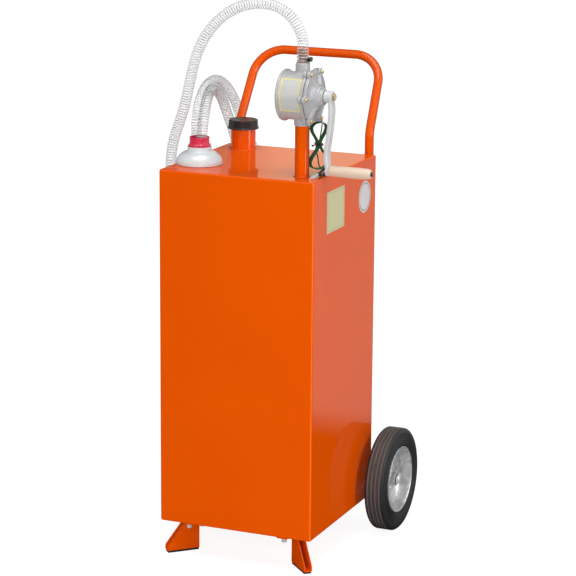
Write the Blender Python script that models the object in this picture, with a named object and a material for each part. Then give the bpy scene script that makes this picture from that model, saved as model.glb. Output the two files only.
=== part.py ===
"""Portable fuel caddy: a steel tank on two wheels and two feet, with a rotary hand pump, a clear hose and an earth wire.

Metres, +Z up. The front wall faces -Y and the pump side is +X. The floor is at zero height.
Places are measured from the middle of the tank's plan, and one empty moves the whole to the middle of its own box.
"""
import math

import bmesh
import bpy
import numpy as np
from mathutils import Matrix, Vector

for old in list(bpy.data.objects):
    bpy.data.objects.remove(old, do_unlink=True)

# Gaps shared by all pieces.
SEAT = 0.0003            # between pieces that touch
OVERRUN = 0.002          # how far a cutter runs past the face it opens
ROD_TURN_SHARE = 0.74    # of half a step, by which a cylinder's corners are turned

# Tank of folded sheet.
TANK_WIDTH = 0.392
TANK_DEPTH = 0.394
TANK_HEIGHT = 0.860
TANK_STAND = 0.0842      # tank bottom above the floor
SHEET = 0.0015
CORNER_RADIUS = 0.006
FOLD_RADIUS = 0.0045
SKIRT_DEPTH = 0.016      # pan skirts inside the walls

# Filler neck and its screw cap.
NECK_SIDE_INSET = 0.0694
NECK_BACK_INSET = 0.0671
NECK_RADIUS = 0.030
NECK_WALL = 0.002
NECK_HEIGHT = 0.068
NECK_BEAD = 0.004        # weld bead at the foot of the neck
CAP_HEIGHT = 0.022
CAP_TOP_WALL = 0.0039
CAP_LIP_RADIUS = 0.0386
CAP_TOP_RADIUS = 0.0352
CAP_LIP_HEIGHT = 0.0032
CAP_EDGE = 0.0015
CAP_GROOVE = 0.0012
CAP_THREAD_CLEARANCE = 0.0005
CAP_FACETS = 10
SEAL_THICKNESS = 0.0015
SEAL_BORE_RADIUS = 0.024

# Riser pipe that carries the pump, and the suction tube in the tank.
RISER_SIDE_INSET = 0.0545
RISER_FRONT_INSET = 0.0595
PIPE_RADIUS = 0.0167
PIPE_WALL = 0.0034
PIPE_BEAD = 0.0038
RISER_LENGTH = 0.119     # from the tank top to the pump
SOCKET_DEPTH = 0.012
SUCTION_WALL = 0.0015
SUCTION_LAP = 0.050      # how far it reaches up the riser pipe
SUCTION_LIFT = 0.015     # above the tank's floor

# Rotary pump. Lengths along its axis run from the back of the drum.
DRUM_RADIUS = 0.0555
REAR_RIM_RADIUS = 0.0595
REAR_RIM_LENGTH = 0.007
DRUM_CHAMFER = 0.003
DRUM_LENGTH = 0.0689
PORT_FROM_BACK = 0.0449
REAR_WALL = 0.009
CHAMBER_RADIUS = 0.047
FLANGE_THICKNESS = 0.008
FLANGE_RADIUS = 0.0590
EAR_RADIUS = 0.0085
SCREW_CIRCLE = 0.0614
COVER_SCREWS = 6
INLET_RADIUS = 0.019
INLET_DROP = 0.0685      # drum centre down to the inlet's face
INLET_BORE_RADIUS = 0.0133
OUTLET_RADIUS = 0.0165
OUTLET_RISE = 0.0765     # drum centre up to the outlet's face
OUTLET_BORE_RADIUS = 0.0095
ROTOR_OFFSET = 0.002     # shaft above the drum centre
ROTOR_RADIUS = 0.043
ROTOR_END_GAP = 0.0004
VANE_THICKNESS = 0.004
VANE_LENGTH = 0.022
VANE_REACH = 0.0444
SLOT_BOTTOM_GAP = 0.001
JOINT_THICKNESS = 0.0008
COVER_PLATE = 0.0081
DOME_RADIUS = 0.050
DOME_TOP_RADIUS = 0.030
DOME_HEIGHT = 0.008
BOSS_RADIUS = 0.024
BOSS_HEIGHT = 0.006
NOSE_RADIUS = 0.019
NOSE_HEIGHT = 0.0075
RIB_WIDTH = 0.009
RIB_HEIGHT = 0.0062
SHAFT_RADIUS = 0.006
SHAFT_BLIND = 0.006      # shaft end in the drum's rear wall
SEAL_RING_RADIUS = 0.0105
SEAL_RING_LENGTH = 0.0075
SCREW_RADIUS = 0.0022
SCREW_HEAD_RADIUS = 0.0048
SCREW_HEAD_HEIGHT = 0.0032
SCREW_REACH = 0.0152
SCREW_CLEARANCE = 0.0004

# Crank.
CRANK_RUN_GAP = 0.001
CRANK_THROW = 0.1705
HUB_RADIUS = 0.014
HUB_LENGTH = 0.019
ARM_THICKNESS = 0.008
ARM_HUB_WIDTH = 0.024
ARM_END_WIDTH = 0.019
ARM_EDGE = 0.002
ARM_SHARES = (
    (0.0, 0.78), (0.07, 0.78), (0.19, 0.868), (0.47, 0.653), (0.61, 0.489), (0.75, 0.32), (0.87, 0.34),
    (0.955, 0.45), (1.0, 0.45),
)
END_BOSS_RADIUS = 0.012
THREAD_RADIUS = 0.004
CRANK_NUT_RADIUS = 0.009
CRANK_NUT_LENGTH = 0.0056
GRIP_LENGTH = 0.1015
GRIP_RADIUS = 0.0125
GRIP_SHARES = ((0.0, 0.86), (0.03, 0.95), (0.2, 0.97), (0.45, 1.02), (0.7, 1.04), (0.9, 0.98), (0.97, 0.93), (1.0, 0.82))
GRIP_PIN_RADIUS = 0.0035
GRIP_PIN_HEAD_RADIUS = 0.0058
GRIP_PIN_HEAD = 0.0032
GRIP_PIN_RIVET = 0.0018

# Outlet spout, hose clamp and hose.
SPOUT_BASE_RADIUS = 0.0105
SPOUT_BASE_DEPTH = 0.012
SPOUT_REACH = 0.0315
SPOUT_ROOT_RADIUS = 0.0088
SPOUT_BORE_RADIUS = 0.007
SPOUT_BARBS = 4
HOSE_RADIUS = 0.013
HOSE_BORE_RADIUS = 0.0105
HOSE_POINTS = 60
CLAMP_RISE = 0.002
CLAMP_WIDTH = 0.012
CLAMP_BAND = 0.0010
CLAMP_BOX_LENGTH = 0.016
CLAMP_BOX_DEPTH = 0.0085
CLAMP_SCREW_RADIUS = 0.0029
CLAMP_HEAD_RADIUS = 0.0042
CLAMP_HEAD_LENGTH = 0.004
CLAMP_SCREW_TAIL = 0.0015

# Bell with its collar, which park the hose's free end on the tank.
BELL_SIDE_INSET = 0.055
BELL_FRONT_INSET = 0.1073
BELL_RADIUS = 0.0555
BELL_HEIGHT = 0.031
BELL_WALL = 0.0026
BELL_NECK_RADIUS = 0.0287
BELL_NECK_HEIGHT = 0.0107
BELL_SHARES = ((1.0, 0.0), (1.0, 0.09), (0.955, 0.27), (0.86, 0.53), (0.735, 0.78), (0.61, 0.94), (0.535, 1.0))
COLLAR_FLANGE_RADIUS = 0.0275
COLLAR_FLANGE = 0.0055
COLLAR_RADIUS = 0.0234
COLLAR_HEIGHT = 0.0225
COLLAR_BORE_RADIUS = 0.0215
COLLAR_SPIGOT = 0.008
COLLAR_EDGE = 0.0008

# Push handle.
HANDLE_RADIUS = 0.011
HANDLE_WALL = 0.0015
HANDLE_SIDE_INSET = 0.0238   # leg centres inside the side walls
HANDLE_TAPER = 0.0055    # each leg leans in by this much over its upper part
HANDLE_TAIL = 0.300      # legs below the tank top
HANDLE_STRAIGHT = 0.0504 # legs above the tank top before the bend
HANDLE_LEAN = math.radians(30.6)
HANDLE_LEAN_LENGTH = 0.2007
HANDLE_CORNER = 0.0738
HANDLE_LEAN_BEND = 0.045
HANDLE_BOLT_SHARES = (0.2333, 0.8733)   # of the legs below the tank top
BOLT_RADIUS = 0.003
BOLT_HEAD_RADIUS = 0.0058
BOLT_HEAD = 0.0042
BOLT_CLEARANCE = 0.0004
BOSS_PLUG_RADIUS = 0.009
BOSS_PLUG_DEPTH = 0.012
BOLT_TIP_GAP = 0.001

# Wheels, axle and brackets.
WHEEL_RADIUS = 0.128
WHEEL_WIDTH = 0.050
WHEEL_SIDE_GAP = 0.022
AXLE_BEHIND = 0.016      # axle centre behind the back wall
AXLE_RADIUS = 0.008
BEAD_RADIUS = 0.082
RIM_THICKNESS = 0.0025
RIM_LIP = 0.0035
HUB_OUTER_RADIUS = 0.0165
HUB_BORE_RADIUS = 0.0120
HUB_INBOARD = 0.029      # hub end inboard of the wheel's middle
HUB_OUTBOARD = 0.015
BUSH_RUN_GAP = 0.0003
AXLE_NUT_RADIUS = 0.0115
AXLE_NUT_LENGTH = 0.0070
AXLE_END = 0.0006
SLEEVE_RADIUS = 0.0125
SLEEVE_LENGTH = 0.072
BRACKET_PLATE = 0.004
BRACKET_PLATE_HALF = 0.030
BRACKET_PLATE_WIDTH = 0.060
WHEEL_END_PLAY = 0.0010
TYRE_SHARES = ((0.0, 0.84), (0.22, 0.90), (0.50, 0.96), (0.76, 1.0), (0.90, 0.93), (0.975, 0.78), (1.0, 0.60))

# Front feet.
FOOT_SHEET = 0.003
FOOT_SIDE_INSET = 0.0746 # inner end of each foot from the side wall
FOOT_FRONT_INSET = 0.0641
FOOT_LENGTH = 0.0816
FOOT_TOP_LENGTH = 0.030
FOOT_TIP_HEIGHT = 0.012
FOOT_FLANGE = 0.020
FOOT_PLATE_HALF = 0.050
FOOT_PLATE_DEPTH = 0.048
FOOT_PLATE_BACK = 0.004
FOOT_PLATE_CHAMFER = 0.014
PAD_THICKNESS = 0.0047
PAD_INSET = 0.0016

# Earth wire and its clip.
WIRE_RADIUS = 0.0015
HANK_X = 0.1691
HANK_Y = -0.1034
HANK_WAIST = 0.073       # above the tank top
HANK_HEADING = math.radians(50.0)
HANK_TURNS = 4
HANK_STEP = 0.0038
HANK_EASE = 0.0016
HANK_WAIST_HALF = 0.0022
HANK_UP = 0.0505
HANK_DOWN = 0.0575
HANK_UP_BULGE = 0.046
HANK_DOWN_BULGE = 0.060
HANK_PULL_SHARE = 0.25
TIE_WALL = 0.0012
TIE_HEIGHT = 0.005
TIE_GAP = 0.0012
CLIP_REAR_X = 0.1820
CLIP_REAR_Y = -0.0950
CLIP_TURN = math.radians(-96.8)
CLIP_LENGTH = 0.0634
CLIP_WIDTH = 0.0090
CLIP_SHEET = 0.0013
CLIP_CHEEK = 0.0010
CLIP_PIVOT = 0.027
CLIP_PIVOT_HEIGHT = 0.0066
CLIP_HANDLE_GAP = 0.0150
CLIP_TIP_HEIGHT = 0.0026
CLIP_LUG_RADIUS = 0.0026
CLIP_PIN_RADIUS = 0.0010

# Routes of the free cords: chosen places as x, y and height above the tank top.
HOSE_ROUTE = (
    (0.1415, -0.1375, 0.2965), (0.1345, -0.1375, 0.3332), (0.1136, -0.1376, 0.3644),
    (0.0822, -0.1378, 0.3852), (0.0455, -0.1380, 0.3925), (-0.0180, -0.1380, 0.3810),
    (-0.0800, -0.1370, 0.3380), (-0.1220, -0.1350, 0.2750), (-0.1440, -0.1320, 0.2050),
    (-0.1680, -0.1240, 0.1250), (-0.2030, -0.1070, 0.0400), (-0.2140, -0.0940, -0.0500),
    (-0.2140, -0.0940, -0.1350), (-0.2140, -0.0660, -0.2140), (-0.2140, 0.0020, -0.2450),
    (-0.2140, 0.0700, -0.2120), (-0.2140, 0.0960, -0.1350), (-0.2135, 0.0710, -0.0480),
    (-0.2125, 0.0460, 0.0300), (-0.2125, 0.0500, 0.0950), (-0.2130, 0.0880, 0.1450),
    (-0.2140, 0.1580, 0.1600), (-0.2120, 0.2300, 0.1280), (-0.2010, 0.2730, 0.0600),
    (-0.1750, 0.2790, -0.0100), (-0.1200, 0.2750, -0.0600), (-0.0550, 0.2620, -0.1000),
    (-0.0130, 0.2500, -0.1650), (-0.0400, 0.2460, -0.2430), (-0.1150, 0.2460, -0.2740),
    (-0.1890, 0.2460, -0.2430), (-0.2170, 0.2460, -0.1680), (-0.2090, 0.2460, -0.0980),
    (-0.1965, 0.2460, -0.0300), (-0.1975, 0.2260, 0.0250), (-0.1985, 0.1900, 0.0780),
    (-0.1885, 0.1350, 0.1240), (-0.1720, 0.0600, 0.1550), (-0.1545, -0.0100, 0.1530),
    (-0.1395, -0.0650, 0.1170), (-0.1345, -0.0895, 0.0700), (-0.1345, -0.0895, 0.0350),
)

# The earth wire's tail, as steps right, back and up from the hank's waist to the clip's rear end.
TAIL_ROUTE = (
    (-0.0069, 0.0109, -0.0350), (-0.0091, 0.0244, -0.0550), (-0.0046, 0.0369, -0.0660),
    (0.0054, 0.0414, -0.0690), (0.0131, 0.0344, -0.0696), (0.0141, 0.0234, -0.0697),
)

COLOURS = {
    "paint": ((0.80, 0.085, 0.002), 0.22, 0.0),
    "black_plastic": ((0.020, 0.019, 0.019), 0.42, 0.0),
    "rubber": ((0.018, 0.018, 0.018), 0.75, 0.0),
    "cast": ((0.56, 0.57, 0.58), 0.42, 0.85),
    "steel": ((0.50, 0.50, 0.50), 0.30, 1.0),
    "silver": ((0.62, 0.62, 0.63), 0.36, 0.80),
    "brass": ((0.60, 0.40, 0.13), 0.30, 1.0),
    "wood": ((0.78, 0.62, 0.42), 0.45, 0.0),
    "clear": ((0.86, 0.88, 0.89), 0.12, 0.0),
    "red": ((0.62, 0.012, 0.05), 0.30, 0.0),
    "chromed": ((0.74, 0.74, 0.76), 0.16, 1.0),
    "fibre": ((0.10, 0.10, 0.09), 0.80, 0.0),
    "green": ((0.012, 0.11, 0.030), 0.38, 0.0),
    "dark_steel": ((0.16, 0.16, 0.17), 0.40, 1.0),
}

TOP = TANK_STAND + TANK_HEIGHT
HALF_W = TANK_WIDTH / 2
HALF_D = TANK_DEPTH / 2
WHEEL_X = HALF_W + WHEEL_SIDE_GAP + WHEEL_WIDTH / 2
AXLE_Y = HALF_D + AXLE_BEHIND
HANDLE_HALF = HALF_W - HANDLE_SIDE_INSET
HANDLE_BOLT_DROPS = [share * HANDLE_TAIL for share in HANDLE_BOLT_SHARES]
FOOT_INNER_X = HALF_W - FOOT_SIDE_INSET
FOOT_INNER_Y = HALF_D - FOOT_FRONT_INSET
RISER_X = HALF_W - RISER_SIDE_INSET
RISER_Y = RISER_FRONT_INSET - HALF_D
DRUM_Z = TOP + RISER_LENGTH + INLET_DROP
CHAMBER_DEPTH = DRUM_LENGTH - REAR_WALL
COVER_BACK = DRUM_LENGTH + SEAT + JOINT_THICKNESS + SEAT
COVER_FRONT = COVER_BACK + COVER_PLATE
NOSE_FRONT = COVER_FRONT + DOME_HEIGHT + BOSS_HEIGHT + NOSE_HEIGHT
HUB_BACK = NOSE_FRONT + CRANK_RUN_GAP
HUB_FRONT = HUB_BACK + HUB_LENGTH
ARM_X = ARM_SHARES[-1][1] * HUB_LENGTH
GRIP_BACK = ARM_X + ARM_THICKNESS / 2 + SEAT
PIN_TIP = GRIP_BACK + GRIP_LENGTH + SEAT + GRIP_PIN_HEAD
REACH_RIGHT = RISER_X - PORT_FROM_BACK + HUB_BACK + PIN_TIP
REACH_LEFT = WHEEL_X + WHEEL_WIDTH / 2
REACH_FRONT = max(HALF_D, SCREW_CIRCLE + EAR_RADIUS - RISER_Y)
REACH_BACK = max(AXLE_Y + WHEEL_RADIUS, HALF_D)
TO_X = Matrix.Rotation(math.pi / 2, 4, "Y")
TO_BACK = Matrix.Rotation(-math.pi / 2, 4, "X")


def empty(name, place, parent=None, turn=None):
    """A frame that pieces hang from."""
    frame = bpy.data.objects.new(name, None)
    bpy.context.collection.objects.link(frame)
    frame.parent = parent
    frame.location = place
    if turn is not None:
        frame.rotation_euler = turn.to_euler()
    return frame


def skin(name, colour):
    """The piece's own material."""
    base, rough, metal = COLOURS[colour]
    look = bpy.data.materials.new(name)
    look.use_nodes = True
    shader = look.node_tree.nodes["Principled BSDF"]
    shader.inputs["Base Color"].default_value = (*base, 1.0)
    shader.inputs["Roughness"].default_value = rough
    shader.inputs["Metallic"].default_value = metal
    look.diffuse_color = (*base, 1.0)
    return look


def piece(name, shape, colour, parent, place=(0, 0, 0), turn=None, smooth=math.radians(35)):
    """Turn a mesh into a named object with its own material."""
    bmesh.ops.recalc_face_normals(shape, faces=shape.faces[:])
    data = bpy.data.meshes.new(name)
    shape.to_mesh(data)
    shape.free()
    data.shade_smooth()
    data.set_sharp_from_angle(angle=smooth)
    item = bpy.data.objects.new(name, data)
    bpy.context.collection.objects.link(item)
    item.parent = parent
    item.location = place
    if turn is not None:
        item.rotation_euler = turn.to_euler()
    if colour:
        data.materials.append(skin(name, colour))
    return item


def combine(item, tool, operation):
    """Cut a tool away, or weld it on."""
    tool.hide_render = True
    tool.display_type = "WIRE"
    step = item.modifiers.new(tool.name, "BOOLEAN")
    step.operation = operation
    step.solver = "EXACT"
    step.object = tool


def cut(item, name, shape, place=(0, 0, 0), turn=None, parent=None):
    combine(item, piece(name, shape, None, parent or item.parent, place, turn), "DIFFERENCE")


def weld(item, name, shape, place=(0, 0, 0), turn=None, parent=None):
    combine(item, piece(name, shape, None, parent or item.parent, place, turn), "UNION")


def even(sides, first=0.0):
    """Equal steps round a circle."""
    return [first + 2 * math.pi * i / sides for i in range(sides)]


def bridge(shape, low, high):
    """Faces between two rows of corners, either of which may be a single point."""
    count = max(len(low), len(high))
    for i in range(count):
        j = (i + 1) % count
        a, b = low[i % len(low)], low[j % len(low)]
        c, d = high[j % len(high)], high[i % len(high)]
        corners = []
        for corner in (a, b, c, d):
            if corner not in corners:
                corners.append(corner)
        shape.faces.new(corners)


def lathe(profile, turns, reach=None):
    """A body turned about Z. A profile that starts and ends on the axis is solid, and any other is a ring."""
    shape = bmesh.new()
    rows = []
    # A flat end is one face, with no spokes to the axis that a bore could meet.
    flat_low = profile[0][0] == 0 and profile[0][1] == profile[1][1]
    flat_high = profile[-1][0] == 0 and profile[-1][1] == profile[-2][1]
    ring = profile[0][0] != 0
    profile = profile[1 if flat_low else 0:-1 if flat_high else None]
    for radius, height in profile:
        if radius == 0:
            rows.append([shape.verts.new((0, 0, height))])
            continue
        row = []
        for turn in turns:
            far = reach(radius, turn) if reach else radius
            row.append(shape.verts.new((far * math.cos(turn), far * math.sin(turn), height)))
        rows.append(row)
    for low, high in zip(rows, rows[1:]):
        bridge(shape, low, high)
    if ring:
        bridge(shape, rows[-1], rows[0])
    if flat_low:
        shape.faces.new(rows[0])
    if flat_high:
        shape.faces.new(rows[-1])
    return shape


def rod(radius, low, high, sides=16):
    """A plain cylinder on Z. Its corners keep off the main directions, so cuts meet no edge end on."""
    return lathe(((0, low), (radius, low), (radius, high), (0, high)), even(sides, ROD_TURN_SHARE * math.pi / sides))


def prism(outline, low, high):
    """A flat outline given a thickness along Z."""
    shape = bmesh.new()
    bottom = [shape.verts.new((x, y, low)) for x, y in outline]
    top = [shape.verts.new((x, y, high)) for x, y in outline]
    shape.faces.new(bottom)
    shape.faces.new(top)
    bridge(shape, bottom, top)
    return shape


def slab(low, high):
    """A box between two corners."""
    (x0, y0, z0), (x1, y1, z1) = low, high
    return prism(((x0, y0), (x1, y0), (x1, y1), (x0, y1)), z0, z1)


def loft(loops):
    """A body through a row of loops with flat ends."""
    shape = bmesh.new()
    rows = [[shape.verts.new(corner) for corner in loop] for loop in loops]
    for low, high in zip(rows, rows[1:]):
        bridge(shape, low, high)
    shape.faces.new(rows[0])
    shape.faces.new(rows[-1])
    return shape


def rounded(half_x, half_y, radius, steps=3):
    """A rectangle with round corners."""
    corners = []
    for quarter, (sx, sy) in enumerate(((1, 1), (-1, 1), (-1, -1), (1, -1))):
        for step in range(steps + 1):
            turn = math.pi / 2 * (quarter + step / steps)
            x = sx * (half_x - radius) + radius * math.cos(turn)
            y = sy * (half_y - radius) + radius * math.sin(turn)
            corners.append((x, y))
    return corners


def stacked(levels, closed):
    """A body of rounded rectangles, each given as its inset from the tank's walls and its height."""
    shape = bmesh.new()
    rows = []
    for inset, height in levels:
        radius = max(CORNER_RADIUS - inset, SHEET / 2)
        outline = rounded(HALF_W - inset, HALF_D - inset, radius)
        rows.append([shape.verts.new((x, y, height)) for x, y in outline])
    for low, high in zip(rows, rows[1:]):
        bridge(shape, low, high)
    if closed:
        bridge(shape, rows[-1], rows[0])
    else:
        shape.faces.new(rows[0])
        shape.faces.new(rows[-1])
    return shape


def tube(points, outer, inner, sides):
    """A hollow tube along a path, open at both ends."""
    shape = bmesh.new()
    line = [Vector(p) for p in points]
    ways = []
    for i in range(len(line)):
        back = line[i] - line[i - 1] if i else line[1] - line[0]
        ahead = line[i + 1] - line[i] if i + 1 < len(line) else line[i] - line[i - 1]
        ways.append((back.normalized() + ahead.normalized()).normalized())
    side = ways[0].orthogonal().normalized()
    rows = []
    for i, (spot, way) in enumerate(zip(line, ways)):
        if i:
            side = (side - way * side.dot(way)).normalized()
        other = way.cross(side)
        pair = []
        for radius in (outer, inner):
            pair.append([
                shape.verts.new(spot + radius * (math.cos(a) * side + math.sin(a) * other))
                for a in even(sides)
            ])
        rows.append(pair)
    for (low_out, low_in), (high_out, high_in) in zip(rows, rows[1:]):
        bridge(shape, low_out, high_out)
        bridge(shape, high_in, low_in)
    bridge(shape, rows[0][1], rows[0][0])
    bridge(shape, rows[-1][0], rows[-1][1])
    return shape


def smooth_line(places, count):
    """Points at equal steps along a natural cubic curve through chosen places."""
    spots = np.array(places, float)
    knots = np.concatenate([[0], np.cumsum(np.linalg.norm(np.diff(spots, axis=0), axis=1) ** 0.5)])
    gaps = np.diff(knots)
    size = len(spots)
    system = np.eye(size)
    right = np.zeros_like(spots)
    for i in range(1, size - 1):
        system[i, i - 1:i + 2] = gaps[i - 1], 2 * (gaps[i - 1] + gaps[i]), gaps[i]
        right[i] = 6 * ((spots[i + 1] - spots[i]) / gaps[i] - (spots[i] - spots[i - 1]) / gaps[i - 1])
    bend = np.linalg.solve(system, right)
    fine = []
    for i in range(size - 1):
        for share in np.linspace(0, 1, 16, endpoint=False):
            a = 1 - share
            curve = ((a ** 3 - a) * bend[i] + (share ** 3 - share) * bend[i + 1]) * gaps[i] ** 2 / 6
            fine.append(a * spots[i] + share * spots[i + 1] + curve)
    fine.append(spots[-1])
    fine = np.array(fine)
    run = np.concatenate([[0], np.cumsum(np.linalg.norm(np.diff(fine, axis=0), axis=1))])
    at = np.linspace(0, run[-1], count)
    return [tuple(float(np.interp(s, run, fine[:, k])) for k in range(3)) for s in at], float(run[-1])


def cord(name, points, radius, colour, parent, resolution):
    """A round cord along its points, with closed ends."""
    curve = bpy.data.curves.new(name, "CURVE")
    curve.dimensions = "3D"
    curve.bevel_depth = radius
    curve.bevel_resolution = resolution
    curve.use_fill_caps = True
    strand = curve.splines.new("POLY")
    strand.points.add(len(points) - 1)
    for spot, place in zip(strand.points, points):
        spot.co = (*place, 1.0)
    curve.materials.append(skin(name, colour))
    item = bpy.data.objects.new(name, curve)
    bpy.context.collection.objects.link(item)
    item.parent = parent
    return item


def self_gap(points, radius, apart):
    """The least gap between parts of a line that lie further apart along it than a given run."""
    line = np.array(points, float)
    fine = []
    for a, b in zip(line, line[1:]):
        fine.extend(a + (b - a) * share for share in np.linspace(0, 1, 8, endpoint=False))
    fine = np.array(fine)
    run = np.concatenate([[0], np.cumsum(np.linalg.norm(np.diff(fine, axis=0), axis=1))])
    gaps = np.linalg.norm(fine[:, None] - fine[None], axis=2)
    gaps[np.abs(run[:, None] - run[None]) < apart] = np.inf
    return float(gaps.min()) - 2 * radius


def tank(root):
    """Four folded walls, a top pan and a bottom pan."""
    walls = piece("tank_wrap", stacked((
        (0, TANK_STAND + FOLD_RADIUS + SEAT), (0, TOP - FOLD_RADIUS - SEAT),
        (SHEET, TOP - FOLD_RADIUS - SEAT), (SHEET, TANK_STAND + FOLD_RADIUS + SEAT),
    ), True), "paint", root)
    number = 0
    for side in (-1, 1):
        for drop in HANDLE_BOLT_DROPS:
            number += 1
            place = (side * HANDLE_HALF, HALF_D - BOSS_PLUG_DEPTH - SHEET / 2, TOP - drop)
            plug = rod(BOSS_PLUG_RADIUS, 0, BOSS_PLUG_DEPTH, 10)
            weld(walls, "plug_%d" % number, plug, place, TO_BACK)
    number = 0
    for side in (-1, 1):
        for drop in HANDLE_BOLT_DROPS:
            number += 1
            place = (side * HANDLE_HALF, HALF_D + OVERRUN, TOP - drop)
            hole = rod(BOLT_RADIUS + BOLT_CLEARANCE, -(BOSS_PLUG_DEPTH - SHEET + OVERRUN), 0, 8)
            cut(walls, "plug_bore_%d" % number, hole, place, TO_BACK)
    skirt = SHEET + SEAT
    folds = []
    for step in range(4):
        turn = math.pi / 2 * step / 3
        folds.append((FOLD_RADIUS * (1 - math.cos(turn)), FOLD_RADIUS * (1 - math.sin(turn))))
    levels = [
        (skirt + SHEET, SHEET), (skirt + SHEET, SKIRT_DEPTH), (skirt, SKIRT_DEPTH), (skirt, FOLD_RADIUS),
    ] + folds
    top = piece("tank_top", stacked([(inset, TOP - drop) for inset, drop in levels], False), "paint", root)
    cut(top, "neck_hole", rod(NECK_RADIUS - NECK_WALL, -SHEET - OVERRUN, OVERRUN, 28), neck_place())
    cut(top, "suction_hole", rod(PIPE_RADIUS - PIPE_WALL, -SHEET - OVERRUN, OVERRUN, 20), (RISER_X, RISER_Y, TOP))
    piece("tank_bottom", stacked([(inset, TANK_STAND + rise) for inset, rise in levels], False), "paint", root)


def neck_place():
    return (NECK_SIDE_INSET - HALF_W, HALF_D - NECK_BACK_INSET, TOP)


def filler(root):
    """Neck, gasket and screw cap."""
    bore = NECK_RADIUS - NECK_WALL
    neck = (
        (NECK_RADIUS + NECK_BEAD, SEAT), (NECK_RADIUS + NECK_BEAD / 2, NECK_BEAD / 2),
        (NECK_RADIUS, NECK_BEAD), (NECK_RADIUS, NECK_HEIGHT - NECK_WALL / 2),
        (NECK_RADIUS - NECK_WALL / 3, NECK_HEIGHT), (bore, NECK_HEIGHT), (bore, SEAT),
    )
    piece("filler_neck", lathe(neck, even(28)), "paint", root, neck_place())
    low = NECK_HEIGHT + SEAT
    high = low + SEAL_THICKNESS
    ring = ((SEAL_BORE_RADIUS, low), (NECK_RADIUS, low), (NECK_RADIUS, high), (SEAL_BORE_RADIUS, high))
    piece("cap_gasket", lathe(ring, even(20)), "rubber", root, neck_place())
    under = high + SEAT
    crown = under + CAP_TOP_WALL
    foot = crown - CAP_HEIGHT
    inside = NECK_RADIUS + CAP_THREAD_CLEARANCE
    skirt_radius = (CAP_LIP_RADIUS + CAP_TOP_RADIUS) / 2
    cap = (
        (0, crown), (CAP_TOP_RADIUS - CAP_EDGE, crown), (CAP_TOP_RADIUS, crown - CAP_EDGE),
        (skirt_radius, foot + CAP_LIP_HEIGHT), (CAP_LIP_RADIUS, foot + CAP_LIP_HEIGHT / 2),
        (CAP_LIP_RADIUS, foot), (inside, foot), (inside, under), (0, under),
    )
    turns = []
    for facet in range(CAP_FACETS):
        for share in (0.0, 0.12, 0.5, 0.88):
            turns.append(2 * math.pi * (facet + share) / CAP_FACETS)

    def faceted(radius, turn):
        if radius <= inside:
            return radius
        share = (turn * CAP_FACETS / (2 * math.pi)) % 1
        if share < 0.01 or share > 0.99:
            return radius - CAP_GROOVE
        return radius

    piece("filler_cap", lathe(cap, turns, faceted), "black_plastic", root, neck_place())


def riser(root):
    """Pipe welded on the tank top, and the suction tube that hangs from it."""
    bore = PIPE_RADIUS - PIPE_WALL
    tip = RISER_LENGTH + SOCKET_DEPTH - SEAT
    pipe = (
        (PIPE_RADIUS + PIPE_BEAD, SEAT), (PIPE_RADIUS + PIPE_BEAD / 3, PIPE_BEAD / 3), (PIPE_RADIUS, PIPE_BEAD),
        (PIPE_RADIUS, tip), (bore, tip), (bore, SEAT),
    )
    piece("riser_pipe", lathe(pipe, even(18)), "paint", root, (RISER_X, RISER_Y, TOP))
    outer = bore - SEAT
    inner = outer - SUCTION_WALL
    low = SHEET + SUCTION_LIFT - TANK_HEIGHT
    ring = ((inner, low), (outer, low), (outer, SUCTION_LAP), (inner, SUCTION_LAP))
    piece("suction_tube", lathe(ring, even(18)), "steel", root, (RISER_X, RISER_Y, TOP))


def ear_turns():
    """Steps round the flange, close together over each ear."""
    half = EAR_RADIUS / SCREW_CIRCLE
    turns = []
    for screw in range(COVER_SCREWS):
        middle = 2 * math.pi * screw / COVER_SCREWS + math.pi / COVER_SCREWS
        for share in (-1.0, -0.7, 0.0, 0.7, 1.0):
            turns.append(middle + share * half)
        turns.append(middle + math.pi / COVER_SCREWS)
    return turns


def eared(radius, turn):
    """The flange's outline: a circle with an ear round each screw."""
    if radius < FLANGE_RADIUS:
        return radius
    step = 2 * math.pi / COVER_SCREWS
    off = (turn % step) - step / 2
    across = SCREW_CIRCLE * math.sin(off)
    if abs(across) >= EAR_RADIUS:
        return radius
    return max(radius, SCREW_CIRCLE * math.cos(off) + math.sqrt(EAR_RADIUS ** 2 - across ** 2))


def screw_places():
    """Screw centres in the plane across the pump's axis."""
    places = []
    for screw in range(COVER_SCREWS):
        turn = 2 * math.pi * screw / COVER_SCREWS + math.pi / COVER_SCREWS
        places.append((SCREW_CIRCLE * math.cos(turn), SCREW_CIRCLE * math.sin(turn), 0))
    return places


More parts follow.
